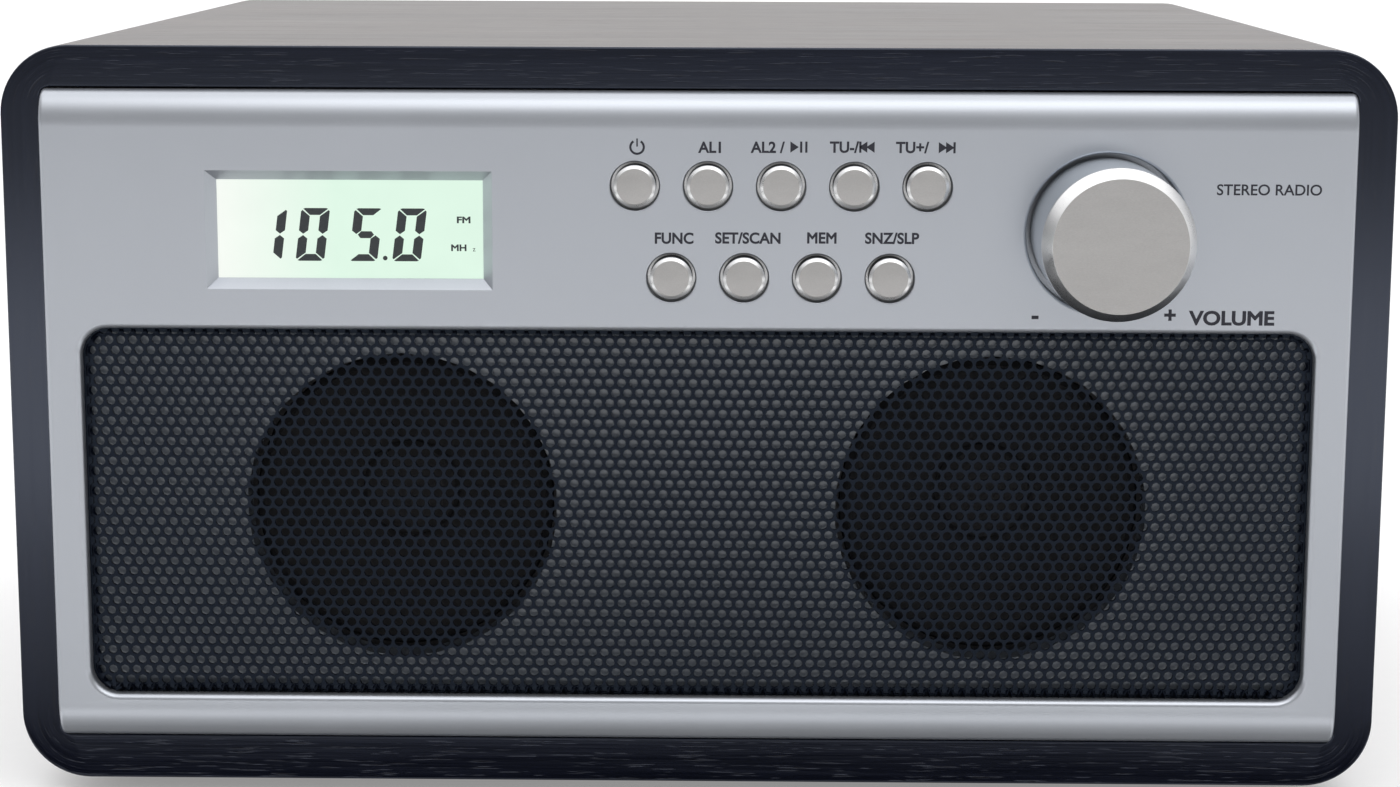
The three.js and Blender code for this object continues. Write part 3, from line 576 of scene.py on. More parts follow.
class NodeTable:
    """The node tree of one new material, with short ways to lay out its pattern."""

    def __init__(self, name: str) -> None:
        """Starts a material with a plain shader.

        Args:
            name: Name of the material.
        """
        self.material = bpy.data.materials.new(name)
        self.material.use_nodes = True
        self.tree = self.material.node_tree
        self.shader = self.tree.nodes["Principled BSDF"]

    def add(self, kind: str, **settings: object) -> bpy.types.Node:
        """Adds a node with its own settings."""
        node = self.tree.nodes.new(kind)
        for key, value in settings.items():
            setattr(node, key, value)
        return node

    def link(self, source: bpy.types.NodeSocket, target: bpy.types.NodeSocket) -> None:
        """Links two sockets."""
        self.tree.links.new(source, target)

    def place(self, stretch: Sequence[float], uv_map: str = "") -> bpy.types.NodeSocket:
        """Coordinates of the piece, scaled along each axis.

        Args:
            stretch: Scale along each axis, or along U and V.
            uv_map: Name of the piece's own UV map, or nothing for its place in metres.

        Returns:
            The scaled coordinates.
        """
        if uv_map:
            source = self.add("ShaderNodeUVMap", uv_map=uv_map).outputs["UV"]
        else:
            source = self.add("ShaderNodeTexCoord").outputs["Object"]
        mapping = self.add("ShaderNodeMapping")
        mapping.inputs["Scale"].default_value = tuple(stretch)
        self.link(source, mapping.inputs["Vector"])
        return mapping.outputs["Vector"]

    def noise(
        self, vector: bpy.types.NodeSocket, scale: float, detail: float = 3, roughness: float = 0.55
    ) -> bpy.types.NodeSocket:
        """A cloudy pattern of a scale, from 0 to 1."""
        node = self.add("ShaderNodeTexNoise")
        node.inputs["Scale"].default_value = scale
        node.inputs["Detail"].default_value = detail
        node.inputs["Roughness"].default_value = roughness
        self.link(vector, node.inputs["Vector"])
        return node.outputs["Fac"]

    def span(
        self, value: bpy.types.NodeSocket, source: Point, target: Point
    ) -> bpy.types.NodeSocket:
        """A value mapped from one range to another, and held at its ends."""
        node = self.add("ShaderNodeMapRange")
        limits = (*source, *target)
        for name, limit in zip(("From Min", "From Max", "To Min", "To Max"), limits):
            node.inputs[name].default_value = limit
        self.link(value, node.inputs["Value"])
        return node.outputs["Result"]

    def ramp(
        self, value: bpy.types.NodeSocket, stops: Sequence[tuple[float, Colour]]
    ) -> bpy.types.NodeSocket:
        """Colours along a value."""
        node = self.add("ShaderNodeValToRGB")
        band = node.color_ramp
        for stop in stops[2:]:
            band.elements.new(stop[0])
        for element, (position, colour) in zip(band.elements, stops):
            element.position = position
            element.color = (*colour, 1)
        self.link(value, node.inputs["Fac"])
        return node.outputs["Color"]

    def blend(
        self,
        share: bpy.types.NodeSocket | float,
        first: bpy.types.NodeSocket | Colour,
        second: bpy.types.NodeSocket | Colour,
        mode: str = "MIX",
    ) -> bpy.types.NodeSocket:
        """Two colours mixed by a share, in a blend mode."""
        node = self.add("ShaderNodeMix", data_type="RGBA", blend_type=mode)
        colours = [s for s in node.inputs if s.type == "RGBA"]
        for socket, value in zip((node.inputs["Factor"], *colours), (share, first, second)):
            if isinstance(value, bpy.types.NodeSocket):
                self.link(value, socket)
            elif isinstance(value, tuple):
                socket.default_value = (*value, 1)
            else:
                socket.default_value = value
        return next(s for s in node.outputs if s.type == "RGBA")

    def bump(self, height: bpy.types.NodeSocket, depth: float, strength: float = 1.0) -> None:
        """Raises the surface by a height pattern, up to a depth in metres."""
        node = self.add("ShaderNodeBump")
        node.inputs["Distance"].default_value = depth
        node.inputs["Strength"].default_value = strength
        self.link(height, node.inputs["Height"])
        self.link(node.outputs["Normal"], self.shader.inputs["Normal"])


@dataclass(frozen=True)
class Finish:
    """A finish whose colour and gloss vary in fine grains and in broad clouds."""

    name: str
    dark: Colour
    light: Colour
    grain: float = 0.3 * MM
    cloud: float = 20 * MM
    stretch: tuple[float, float, float] = (1, 1, 1)
    roughness: Point = (0.4, 0.5)
    metallic: float = 0.0
    relief: float = 0.01 * MM
    constants: tuple[tuple[str, float | tuple[float, ...]], ...] = ()

    def material(self) -> bpy.types.Material:
        """The finish as a material, made once.

        Returns:
            The material.
        """
        return bpy.data.materials.get(self.label) or self.make()

    @property
    def label(self) -> str:
        """Name of its material, apart from those that the frame brings."""
        return self.name + "_finish"

    def make(self) -> bpy.types.Material:
        """Lays out the finish's nodes."""
        table = NodeTable(self.label)
        place = table.place(self.stretch)
        fine = table.noise(place, 1 / self.grain, 2)
        broad = table.noise(place, 1 / self.cloud, 3)
        mixed = table.blend(0.35, self.grey(table, fine), self.grey(table, broad))
        table.link(
            table.ramp(mixed, [(0.3, self.dark), (0.7, self.light)]),
            table.shader.inputs["Base Color"],
        )
        table.link(
            table.span(mixed, (0.3, 0.7), self.roughness), table.shader.inputs["Roughness"]
        )
        table.bump(fine, self.relief)
        self.set_constants(table)
        return table.material

    @staticmethod
    def grey(table: NodeTable, value: bpy.types.NodeSocket) -> bpy.types.NodeSocket:
        """A value as a grey colour."""
        return table.ramp(value, [(0, (0, 0, 0)), (1, (1, 1, 1))])

    def set_constants(self, table: NodeTable) -> None:
        """Sets the values that are the same all over the surface."""
        table.shader.inputs["Metallic"].default_value = self.metallic
        for name, value in self.constants:
            table.shader.inputs[name].default_value = value


@dataclass(frozen=True)
class Veneer(Finish):
    """Open-pored wood, with its grain along U and across V of the grain map."""

    pore: Colour = (0.006, 0.005, 0.006)

    def make(self) -> bpy.types.Material:
        """Lays out bands, streaks and pores that all follow the grain."""
        table = NodeTable(self.label)
        band = table.noise(table.place((4, 55, 1), GRAIN_MAP), 1, 3)
        streak = table.noise(table.place((14, 900, 1), GRAIN_MAP), 1, 4, 0.65)
        pores = table.noise(table.place((90, 2600, 1), GRAIN_MAP), 1, 2)
        mixed = table.blend(0.5, self.grey(table, band), self.grey(table, streak))
        wood = table.ramp(mixed, [(0.32, self.dark), (0.68, self.light)])
        open_pore = table.span(pores, (0.6, 0.68), (0.0, 1.0))
        table.link(
            table.blend(open_pore, wood, self.pore), table.shader.inputs["Base Color"]
        )
        table.link(
            table.span(streak, (0.3, 0.7), self.roughness), table.shader.inputs["Roughness"]
        )
        height = table.blend(open_pore, self.grey(table, streak), (0.0, 0.0, 0.0))
        table.bump(height, self.relief)
        self.set_constants(table)
        return table.material


@dataclass(frozen=True)
class LitDisplay(Finish):
    """A backlit panel that glows a little brighter at one end, under a satin polariser."""

    glow: float = 0.96
    left: float = 0.0
    right: float = 1.0

    def make(self) -> bpy.types.Material:
        """Lays out the glow along the panel, with the faint cloud of its light guide."""
        table = NodeTable(self.label)
        place = table.place((1, 1, 1))
        split = table.add("ShaderNodeSeparateXYZ")
        table.link(place, split.inputs["Vector"])
        along = table.span(split.outputs["X"], (self.left, self.right), (0.0, 1.0))
        light = table.ramp(along, [(0, self.light), (0.45, self.dark)])
        cloud = self.grey(table, table.noise(place, 1 / self.cloud, 2))
        glow = table.blend(0.06, light, cloud, "MULTIPLY")
        table.link(glow, table.shader.inputs["Emission Color"])
        table.shader.inputs["Base Color"].default_value = (0.02, 0.025, 0.02, 1)
        table.link(
            table.span(table.noise(place, 1 / self.grain), (0.3, 0.7), self.roughness),
            table.shader.inputs["Roughness"],
        )
        table.shader.inputs["Emission Strength"].default_value = self.glow
        self.set_constants(table)
        return table.material


GRAIN_MAP = "grain"

VENEER = Veneer(
    "veneer", (0.022, 0.015, 0.013), (0.085, 0.062, 0.052),
    roughness=(0.30, 0.44), relief=0.03 * MM,
)
# Dark veneer of the tube's front and back edges; its blue tint and blue specular tint are a painted
# reflection of the room.
EDGE_VENEER_AND_PAINTED_REFLECTION = Veneer(
    "edge_veneer_and_painted_reflection", (0.0005, 0.0008, 0.003), (0.0028, 0.0036, 0.010),
    roughness=(0.05, 0.12), relief=0.009 * MM,
    constants=(("Specular IOR Level", 0.66), ("Specular Tint", (0.72, 0.80, 1.0, 1.0))),
)
RAW_WOOD = Finish(
    "raw_wood", (0.035, 0.026, 0.020), (0.060, 0.046, 0.034), grain=0.6 * MM,
    stretch=(1, 0.1, 1), roughness=(0.7, 0.85), relief=0.05 * MM,
)
SILVER_PAINT = Finish(
    "silver_paint", (0.49, 0.515, 0.555), (0.55, 0.575, 0.62), grain=0.12 * MM, cloud=35 * MM,
    roughness=(0.30, 0.35), metallic=0.85, relief=0.0025 * MM,
)
KNOB_PAINT = Finish(
    "knob_paint", (0.50, 0.54, 0.59), (0.56, 0.60, 0.65), grain=0.12 * MM, cloud=12 * MM,
    roughness=(0.36, 0.42), metallic=0.7, relief=0.002 * MM,
)
SATIN_METAL = Finish(
    "satin_metal", (0.50, 0.488, 0.478), (0.60, 0.588, 0.575), grain=0.16 * MM, cloud=3 * MM,
    stretch=(0.45, 1, 1.3), roughness=(0.42, 0.52), metallic=0.9, relief=0.006 * MM,
)
BRIGHT_METAL = Finish(
    "bright_metal", (0.80, 0.80, 0.80), (0.86, 0.86, 0.855), grain=0.2 * MM, cloud=4 * MM,
    roughness=(0.26, 0.32), metallic=1.0, relief=0.0008 * MM,
)
BLACK_STEEL = Finish(
    "black_steel", (0.0012, 0.0020, 0.0052), (0.0026, 0.0036, 0.0080), grain=0.25 * MM,
    roughness=(0.26, 0.32), relief=0.006 * MM,
    constants=(("Specular IOR Level", 0.28), ("Specular Tint", (0.60, 0.76, 1.0, 1.0))),
)
BLACK_BOARD = Finish(
    "black_board", (0.185, 0.21, 0.25), (0.26, 0.29, 0.33), grain=0.5 * MM,
    roughness=(0.20, 0.28), relief=0.02 * MM, constants=(("Specular IOR Level", 0.8),),
)
# Black moulded plastic; on the button caps' sides it is painted shade for the dark gap round each cap.
BLACK_PLASTIC_AND_GAP_SHADE = Finish(
    "black_plastic", (0.016, 0.016, 0.018), (0.026, 0.026, 0.028), grain=0.45 * MM,
    roughness=(0.5, 0.6), relief=0.03 * MM,
)
STEEL = Finish(
    "steel", (0.42, 0.43, 0.44), (0.56, 0.57, 0.58), grain=0.3 * MM,
    stretch=(0.3, 1, 1), roughness=(0.28, 0.4), metallic=1.0, relief=0.005 * MM,
)
CHROME = Finish(
    "chrome", (0.72, 0.73, 0.74), (0.80, 0.81, 0.82), grain=0.4 * MM,
    roughness=(0.06, 0.10), metallic=1.0, relief=0.0006 * MM,
)
FERRITE = Finish(
    "ferrite", (0.035, 0.035, 0.037), (0.06, 0.06, 0.062), grain=0.4 * MM,
    roughness=(0.65, 0.8), relief=0.03 * MM,
)
PAPER = Finish(
    "paper", (0.018, 0.018, 0.02), (0.035, 0.035, 0.037), grain=0.5 * MM,
    roughness=(0.8, 0.95), relief=0.06 * MM,
)
CIRCUIT_BOARD = Finish(
    "circuit_board", (0.012, 0.055, 0.028), (0.02, 0.08, 0.04), grain=0.8 * MM,
    roughness=(0.35, 0.5), relief=0.01 * MM,
)
HEAT_SINK = Finish(
    "heat_sink", (0.10, 0.105, 0.11), (0.15, 0.155, 0.16), grain=0.3 * MM,
    stretch=(1, 1, 0.2), roughness=(0.45, 0.6), metallic=0.9, relief=0.01 * MM,
)
RUBBER = Finish(
    "rubber", (0.010, 0.010, 0.010), (0.018, 0.018, 0.018), grain=0.3 * MM,
    roughness=(0.75, 0.9), relief=0.02 * MM,
)
DIFFUSER = Finish(
    "diffuser", (0.72, 0.80, 0.74), (0.80, 0.88, 0.82), grain=0.5 * MM,
    roughness=(0.4, 0.5), relief=0.005 * MM,
)
INK = Finish(
    "ink", (0.012, 0.012, 0.022), (0.020, 0.020, 0.032), grain=0.1 * MM,
    roughness=(0.45, 0.55), relief=0.001 * MM,
)
SEGMENT = Finish(
    "segment", (0.020, 0.026, 0.030), (0.034, 0.040, 0.042), grain=0.5 * MM,
    roughness=(0.3, 0.4), relief=0.001 * MM,
)


def dress(piece: bpy.types.Object, *finishes: Finish) -> bpy.types.Object:
    """Gives a piece its finishes in the order of its material numbers."""
    piece.data.materials.clear()
    for finish in finishes:
        piece.data.materials.append(finish.material())
    return piece


def paint_faces(
    piece: bpy.types.Object, number: int, test: Callable[[Vector, Vector], bool]
) -> None:
    """Gives a material number to the faces whose centre and normal pass a test."""
    for face in piece.data.polygons:
        if test(face.center, face.normal):
            face.material_index = number


def mount(
    piece: bpy.types.Object, nodes: Sequence[str] = (), body: str = BODY
) -> None:
    """Rides a finished piece on its body and hides the CAD nodes that it replaces.
        body: CAD body that it moves with.
    """
    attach(piece, body)
    if nodes:
        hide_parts(*nodes)
    log.info("%s: %d faces", piece.name, len(piece.data.polygons))


# ------------------------------------------------------------------ wooden cabinet


@dataclass
class Cabinet:
    """The veneered wooden tube, with the glued blocks that its rear screws bite into."""

    side: float = 8.7 * MM
    top: float = 9 * MM
    base: float = 10 * MM
    corner: float = 15 * MM
    inner_corner: float = 2.1 * MM
    edge: float = 0.45 * MM
    arc: int = 16
    block_size: float = 14 * MM
    block_depth: float = 18 * MM
    block_edge: float = 0.5 * MM
    pilot: float = 1.8 * MM
    panel_room: float = 3.3 * MM
    wood: Extent = field(default_factory=lambda: Extent.of("wood_cabinet"))

    @property
    def outer(self) -> Outline:
        """Outside of the tube."""
        size, centre = self.wood.size, self.wood.centre
        return Outline(size.x, size.z, self.corner, centre.x, centre.z, self.arc)

    @property
    def inner(self) -> Outline:
        """Inside of the tube."""
        size, centre = self.wood.size, self.wood.centre
        return Outline(
            size.x - 2 * self.side,
            size.z - self.top - self.base,
            self.inner_corner,
            centre.x,
            centre.z + (self.base - self.top) / 2,
            self.arc,
        )

    def build(self) -> None:
        """Makes the tube and its corner blocks."""
        tube = ring("wooden_tube", self.outer, self.inner, self.wood.low.y, self.wood.size.y)
        soften(tube, self.edge, 3)
        smooth(tube, 40)
        self.lay_grain(tube)
        dress(tube, VENEER, EDGE_VENEER_AND_PAINTED_REFLECTION, RAW_WOOD)
        # Faces that look to the front or back take the dark edge finish, whose blue tint is a painted
        # reflection.
        paint_faces(tube, 1, lambda centre, normal: abs(normal.y) > 0.2)
        paint_faces(tube, 2, self.is_inside)
        mount(tube, ["wood_cabinet"])
        blocks = join("corner_blocks", [self.corner_block(x, z) for x in (-1, 1) for z in (-1, 1)])
        mount(smooth(dress(blocks, RAW_WOOD)))

    def is_inside(self, centre: Vector, normal: Vector) -> bool:
        """Says whether a face is on the inner wall of the tube."""
        near = self.inner.nearest(centre.x, centre.z)
        return abs(normal.y) < 0.2 and near.distance < self.edge

    def lay_grain(self, piece: bpy.types.Object) -> None:
        """Writes a grain map that runs along the tube's edge, over it and back."""
        mesh, outer = piece.data, self.outer
        layer = mesh.uv_layers.new(name=GRAIN_MAP)
        for face in mesh.polygons:
            middle = outer.nearest(face.center.x, face.center.z).along
            for loop in face.loop_indices:
                place = mesh.vertices[mesh.loops[loop].vertex_index].co
                near = outer.nearest(place.x, place.z)
                turns = round((middle - near.along) / outer.length)
                across = place.y + near.distance
                layer.data[loop].uv = (near.along + turns * outer.length, across)

    def corner_block(self, side: int, end: int) -> bpy.types.Object:
        """Makes one glued block with the pilot hole of its screw.

        Args:
            side: Left, -1, or right, 1.
            end: Lower, -1, or upper, 1.

        Returns:
            The block.
        """
        name = f"{'upper' if end > 0 else 'lower'}_{'right' if side > 0 else 'left'}"
        screw = Extent.of(name + "_screw").centre
        back = Extent.of("rear_panel").high.y - self.panel_room
        half = self.block_size / 2
        wall_x = self.inner.x + side * self.inner.width / 2
        wall_z = self.inner.z + end * self.inner.height / 2
        ends_x = sorted((screw.x - side * half, wall_x))
        ends_z = sorted((screw.z - end * half, wall_z))
        low = Vector((ends_x[0], back - self.block_depth, ends_z[0]))
        high = Vector((ends_x[1], back, ends_z[1]))
        piece = soften(block(name + "_block", low, high), self.block_edge)
        start = Vector((screw.x, low.y - MM, screw.z))
        length = self.block_depth + 2 * MM
        return carve(piece, [rod("drill", self.pilot, 0, length, start, sides=24)])


# ------------------------------------------------------------------ moulded front


def bend_points(centre: Point, half: Point, start: float, count: int = 12) -> list[Point]:
    """Points of a quarter of an ellipse.

    Args:
        centre: Its middle.
        half: Its half axes.
        start: Angle of its first point, in quarters of a turn.
        count: Number of steps.

    Returns:
        The points, its ends among them.
    """
    angles = [(start - i / count) * math.pi / 2 for i in range(count + 1)]
    return [
        (centre[0] + half[0] * math.cos(a), centre[1] + half[1] * math.sin(a)) for a in angles
    ]


def mouth(radius: float, lip: float, depth: float, place: Vector) -> bpy.types.Object:
    """Makes the cutter of a round hole whose lip is rounded.

    Args:
        radius: Radius of the hole.
        lip: Radius of its lip.
        depth: Depth of the hole.
        place: Its middle, on the face.

    Returns:
        The cutter.
    """
    profile = [(0.0, -MM), (radius + lip, -MM), (radius + lip, 0.0)]
    for i in range(1, 6):
        turn = i / 5 * math.pi / 2
        profile.append((radius + lip * (1 - math.sin(turn)), lip * (1 - math.cos(turn))))
    profile += [(radius, depth), (0.0, depth)]
    return turned("mouth", profile, place)


@dataclass
class FrontPanel:
    """The silver moulding that holds the grille, the display and the controls."""

    wall: float = 2.5 * MM
    roll: float = 8 * MM
    bend: float = 4 * MM
    edge: float = 1.1 * MM
    grille_lip: float = 1.4 * MM
    button_lip: float = 0.5 * MM
    button_hole: float = 5.15 * MM
    knob_lip: float = 0.7 * MM
    knob_hole: float = 17.3 * MM
    cup_wall: float = 1.5 * MM
    cup_depth: float = 6 * MM
    cup_front: float = 1.2 * MM
    bush_hole: float = 4.4 * MM
    bush_lip: float = 0.2 * MM
    bush_depth: float = 9 * MM
    reach_in: float = 12 * MM
    window_slope: float = 2.15 * MM
    panel: Extent = field(default_factory=lambda: Extent.of("front_panel"))

    @property
    def face(self) -> float:
        """Plane of the front."""
        return self.panel.low.y

    def build(self, opening: Outline, window: Outline) -> None:
        """Makes the moulding.

        Args:
            opening: Opening of the grille.
            window: Window of the display, at its back.
        """
        piece = self.skin()
        knob = Extent.of("volume_knob_shell").centre
        centre = Vector((knob.x, self.face, knob.z))
        carve(piece, [self.cup(centre)], Cut.ADD)
        cutters = [self.grille_mouth(opening), self.window_mouth(window)]
        cutters.append(mouth(self.knob_hole, self.knob_lip, self.cup_depth, centre))
        floor = centre + Vector((0, self.cup_depth, 0))
        cutters.append(mouth(self.bush_hole, self.bush_lip, self.bush_depth, floor))
        for name in BUTTON_NAMES:
            at = Extent.of(name + "_button").centre
            cutters.append(
                mouth(self.button_hole, self.button_lip, self.wall + MM, Vector((at.x, self.face, at.z)))
            )
        for cutter in cutters:
            carve(piece, [cutter])
        smooth(clean(piece), 30)
        mount(dress(piece, SILVER_PAINT), ["front_panel"])

    def skin(self) -> bpy.types.Object:
        """Makes the shell: rolled over at the top and the bottom, and hollow behind."""
        low, high, roll, bend = self.panel.low, self.panel.high, self.roll, self.bend
        front = self.face + bend
        back = spot(0, self.reach_in, 0).y
        side = [(back, low.z)]
        side += bend_points((front, low.z + roll), (bend, roll), 3)
        side += bend_points((front, high.z - roll), (bend, roll), 2)
        side += [(back, high.z)]
        corners = [Vector((low.x, y, z)) for y, z in side]
        piece = outlined("silver_front", corners, Vector((high.x - low.x, 0, 0)))
        select_edges(
            piece,
            lambda a, b: a.x == b.x and min(a.y, b.y) < back - MM and abs(a.x) > high.x - MM,
        )
        with editing(piece, "EDGE"):
            bpy.ops.mesh.bevel(offset=self.edge, segments=5, clamp_overlap=False)
        inside_low = Vector((low.x, self.face, low.z)) + Vector.Fill(3, self.wall)
        inside_high = Vector((high.x - self.wall, back + MM, high.z - self.wall))
        return carve(piece, [block("hollow", inside_low, inside_high)])

    def cup(self, centre: Vector) -> bpy.types.Object:
        """Makes the cup that the knob turns in, before its opening is cut."""
        radius = self.knob_hole + self.cup_wall
        front, back = self.cup_front, self.cup_depth + self.cup_wall
        return rod("cup", radius, front, back, centre)

    def grille_mouth(self, opening: Outline) -> bpy.types.Object:
        """Makes the cutter of the grille's opening, with a rolled lip."""
        steps = [Step(0, MM), *flare(self.grille_lip), Step(0, 2 * self.wall)]
        outer = opening.grown(self.grille_lip)
        return stepped("grille_mouth", outer, self.face - MM, steps, Facing.BACK)

    def window_mouth(self, window: Outline) -> bpy.types.Object:
        """Makes the cutter of the display's window, with its sloping frame."""
        slope = self.window_slope
        steps = [Step(0, MM), Step(slope, slope), Step(0, self.wall)]
        outer = replace(window, width=window.width + 2 * slope, height=window.height + 2 * slope)
        return stepped("window_mouth", outer, self.face - MM, steps, Facing.BACK)


# ------------------------------------------------------------------ grille


@dataclass
class Grille:
    """The black steel tray, pressed from a sheet of staggered round holes."""

    corner: float = 6 * MM
    gap: float = 0.3 * MM
    flange: float = 3 * MM
    pitch: float = 2.59 * MM
    hole: float = 1.02 * MM
    hole_sides: int = 8
    sheet: float = 0.8 * MM
    bend: float = 1.2 * MM
    skirt: float = 0.38 * MM
    margin: float = 1.75 * MM
    relief: float = 19.4 * MM
    relief_depth: float = 4 * MM
    tray_box: Extent = field(default_factory=lambda: Extent.of("speaker_grille"))

    @property
    def opening(self) -> Outline:
        """Opening of the moulding that the tray stands in."""
        box, flange = self.tray_box, 2 * self.flange
        return Outline(
            box.size.x - flange, box.size.z - flange, self.corner, box.centre.x, box.centre.z
        )

    @property
    def row(self) -> float:
        """Height from a row of holes to the next."""
        return self.pitch * math.sqrt(3) / 2

    @property
    def flat(self) -> Outline:
        """Edge of the flat part of the tray."""
        return self.opening.grown(-self.gap - self.bend)

    @property
    def reach(self) -> float:
        """Length of sheet in the bend and the skirt."""
        return self.bend * math.pi / 2 + self.skirt

    def build(self) -> None:
        """Makes the perforated tray and its flange."""
        sheet = self.perforated()
        self.extend_below(sheet)
        self.trim(sheet)
        self.fold(sheet)
        use(sheet, "SOLIDIFY", thickness=self.sheet, offset=-1, use_rim=True)
        back = self.tray_box.high.y
        rim = ring(
            "grille_flange",
            self.opening.grown(self.flange),
            self.opening.grown(-self.gap - self.sheet),
            back - self.sheet,
            self.sheet,
        )
        tray = join("perforated_grille", [sheet, self.relieve(rim)])
        pick(tray)
        bpy.ops.object.shade_smooth_by_angle(angle=math.radians(45))
        mount(dress(tray, BLACK_STEEL), ["speaker_grille"])

    def relieve(self, rim: bpy.types.Object) -> bpy.types.Object:
        """Cuts the flange clear of the knob's cup."""
        knob = Extent.of("volume_knob_shell").centre
        start = Vector((knob.x, self.tray_box.low.y, knob.z))
        return carve(rim, [rod("relief", self.relief, 0, self.relief_depth, start)])

    def cell(self, name: str, place: Vector) -> bpy.types.Object:
        """Makes one six-sided cell of the sheet with a round hole."""
        rings = []
        for radius, sides in ((self.pitch / math.sqrt(3), 6), (self.hole, self.hole_sides)):
            bpy.ops.mesh.primitive_circle_add(
                vertices=sides, radius=radius, location=place, rotation=(math.pi / 2, 0, 0)
            )
            rings.append(settle(bpy.context.object, name))
        piece = join(name, rings)
        with editing(piece, "EDGE"):
            bpy.ops.mesh.select_all(action="SELECT")
            bpy.ops.mesh.fill(use_beauty=True)
        return piece

    def perforated(self) -> bpy.types.Object:
        """Makes the flat sheet out of rows of cells."""
        low, high = self.flat.grown(self.reach), self.tray_box
        columns = math.ceil(low.width / self.pitch) + 1
        rows = math.ceil((low.height - self.margin) / self.row / 2) + 1
        first = Vector((
            low.x - (columns - 0.5) / 2 * self.pitch,
            high.low.y,
            self.opening.z - self.opening.height / 2 + self.margin + self.hole + 0.1 * MM,
        ))
        second = first + Vector((self.pitch / 2, 0, self.row))
        unit = join("sheet", [self.cell("cell", first), self.cell("cell", second)])
        for count, step in ((columns, (self.pitch, 0, 0)), (rows, (0, 0, 2 * self.row))):
            use(
                unit,
                "ARRAY",
                count=count,
                use_relative_offset=False,
                use_constant_offset=True,
                constant_offset_displace=step,
            )
        with editing(unit):
            bpy.ops.mesh.select_all(action="SELECT")
            bpy.ops.mesh.remove_doubles(threshold=WELD)
        return unit

    def extend_below(self, sheet: bpy.types.Object) -> None:
        """Continues the sheet below its lowest row of holes in plain strips."""
        lowest = min(v.co.z for v in sheet.data.vertices)
        ragged = lowest + self.pitch / math.sqrt(3) * 0.6
        bottom = self.flat.z - self.flat.height / 2 - self.reach
        strips, overlap = 6, 0.05 * MM
        clear_elements(sheet)
        counts: dict[tuple[int, int], int] = {}
        for face in sheet.data.polygons:
            for key in face.edge_keys:
                counts[key] = counts.get(key, 0) + 1
        for edge in sheet.data.edges:
            ends = [sheet.data.vertices[i].co for i in edge.vertices]
            is_border = counts[tuple(sorted(edge.vertices))] == 1
            edge.select = is_border and max(end.z for end in ends) < ragged
        for i in range(strips):
            with editing(sheet, "EDGE"):
                push((0, 0, -2 * overlap))
            level = lowest - overlap + (bottom - lowest) * i / (strips - 1)
            for vertex in sheet.data.vertices:
                if vertex.select:
                    vertex.co.z = level

    def trim(self, sheet: bpy.types.Object) -> None:
        """Deletes the faces that lie wholly past the edge of the folded sheet."""
        flat, vertices = self.flat, sheet.data.vertices
        past = [flat.nearest(v.co.x, v.co.z).distance > self.reach for v in vertices]
        clear_elements(sheet)
        for face in sheet.data.polygons:
            face.select = all(past[i] for i in face.vertices)
        with editing(sheet, "FACE"):
            bpy.ops.mesh.delete(type="FACE")

    def fold(self, sheet: bpy.types.Object) -> None:
        """Bends what lies outside the flat part back round the tray's edge."""
        flat = self.flat
        quarter = self.bend * math.pi / 2
        for vertex in sheet.data.vertices:
            near = flat.nearest(vertex.co.x, vertex.co.z)
            if near.distance <= 0:
                continue
            past = min(near.distance, self.reach)
            turn = min(past, quarter) / self.bend
            place = near.place + near.out * self.bend * math.sin(turn)
            vertex.co.x, vertex.co.z = place
            vertex.co.y += self.bend * (1 - math.cos(turn)) + max(past - quarter, 0)
        with editing(sheet):
            bpy.ops.mesh.select_all(action="SELECT")
            bpy.ops.mesh.remove_doubles(threshold=WELD)
            bpy.ops.mesh.normals_make_consistent(inside=False)
        front = sum(f.normal.y * f.area for f in sheet.data.polygons)
        if front > 0:
            with editing(sheet):
                bpy.ops.mesh.select_all(action="SELECT")
                bpy.ops.mesh.flip_normals()


# ------------------------------------------------------------------ lettering


@dataclass(frozen=True)
class Label:
    """Printed words: their middle, height, boldness and width, in millimetres."""

    words: str
    x: float
    z: float
    cap: float = 2.3
    weight: float = 0.10
    wide: float = 0.97


CAPITAL_SHARE = 0.70
INK_DEPTH = 0.02 * MM


def lettering(label: Label, face: float) -> bpy.types.Object:
    """Makes thin printed lettering.

    Args:
        label: What it says, and where.
        face: Plane of its front.

    Returns:
        The lettering.
    """
    cap, weight = label.cap * MM, label.weight * MM
    bpy.ops.object.text_add()
    text = bpy.context.object.data
    text.body = label.words
    text.size = cap / CAPITAL_SHARE
    text.align_x = "CENTER"
    text.bevel_depth = weight
    text.bevel_resolution = 0
    text.extrude = INK_DEPTH
    text.resolution_u = 5
    pick(bpy.context.object)
    bpy.ops.object.convert(target="MESH")
    piece = bpy.context.object
    place = spot(label.x * MM, 0, label.z * MM - cap / 2)
    piece.location = (place.x, face + INK_DEPTH, place.z)
    piece.rotation_euler = (math.pi / 2, 0, 0)
    piece.scale = (label.wide, 1, INK_DEPTH / (INK_DEPTH + weight))
    return clean(settle(piece, "lettering"))


# ------------------------------------------------------------------ display


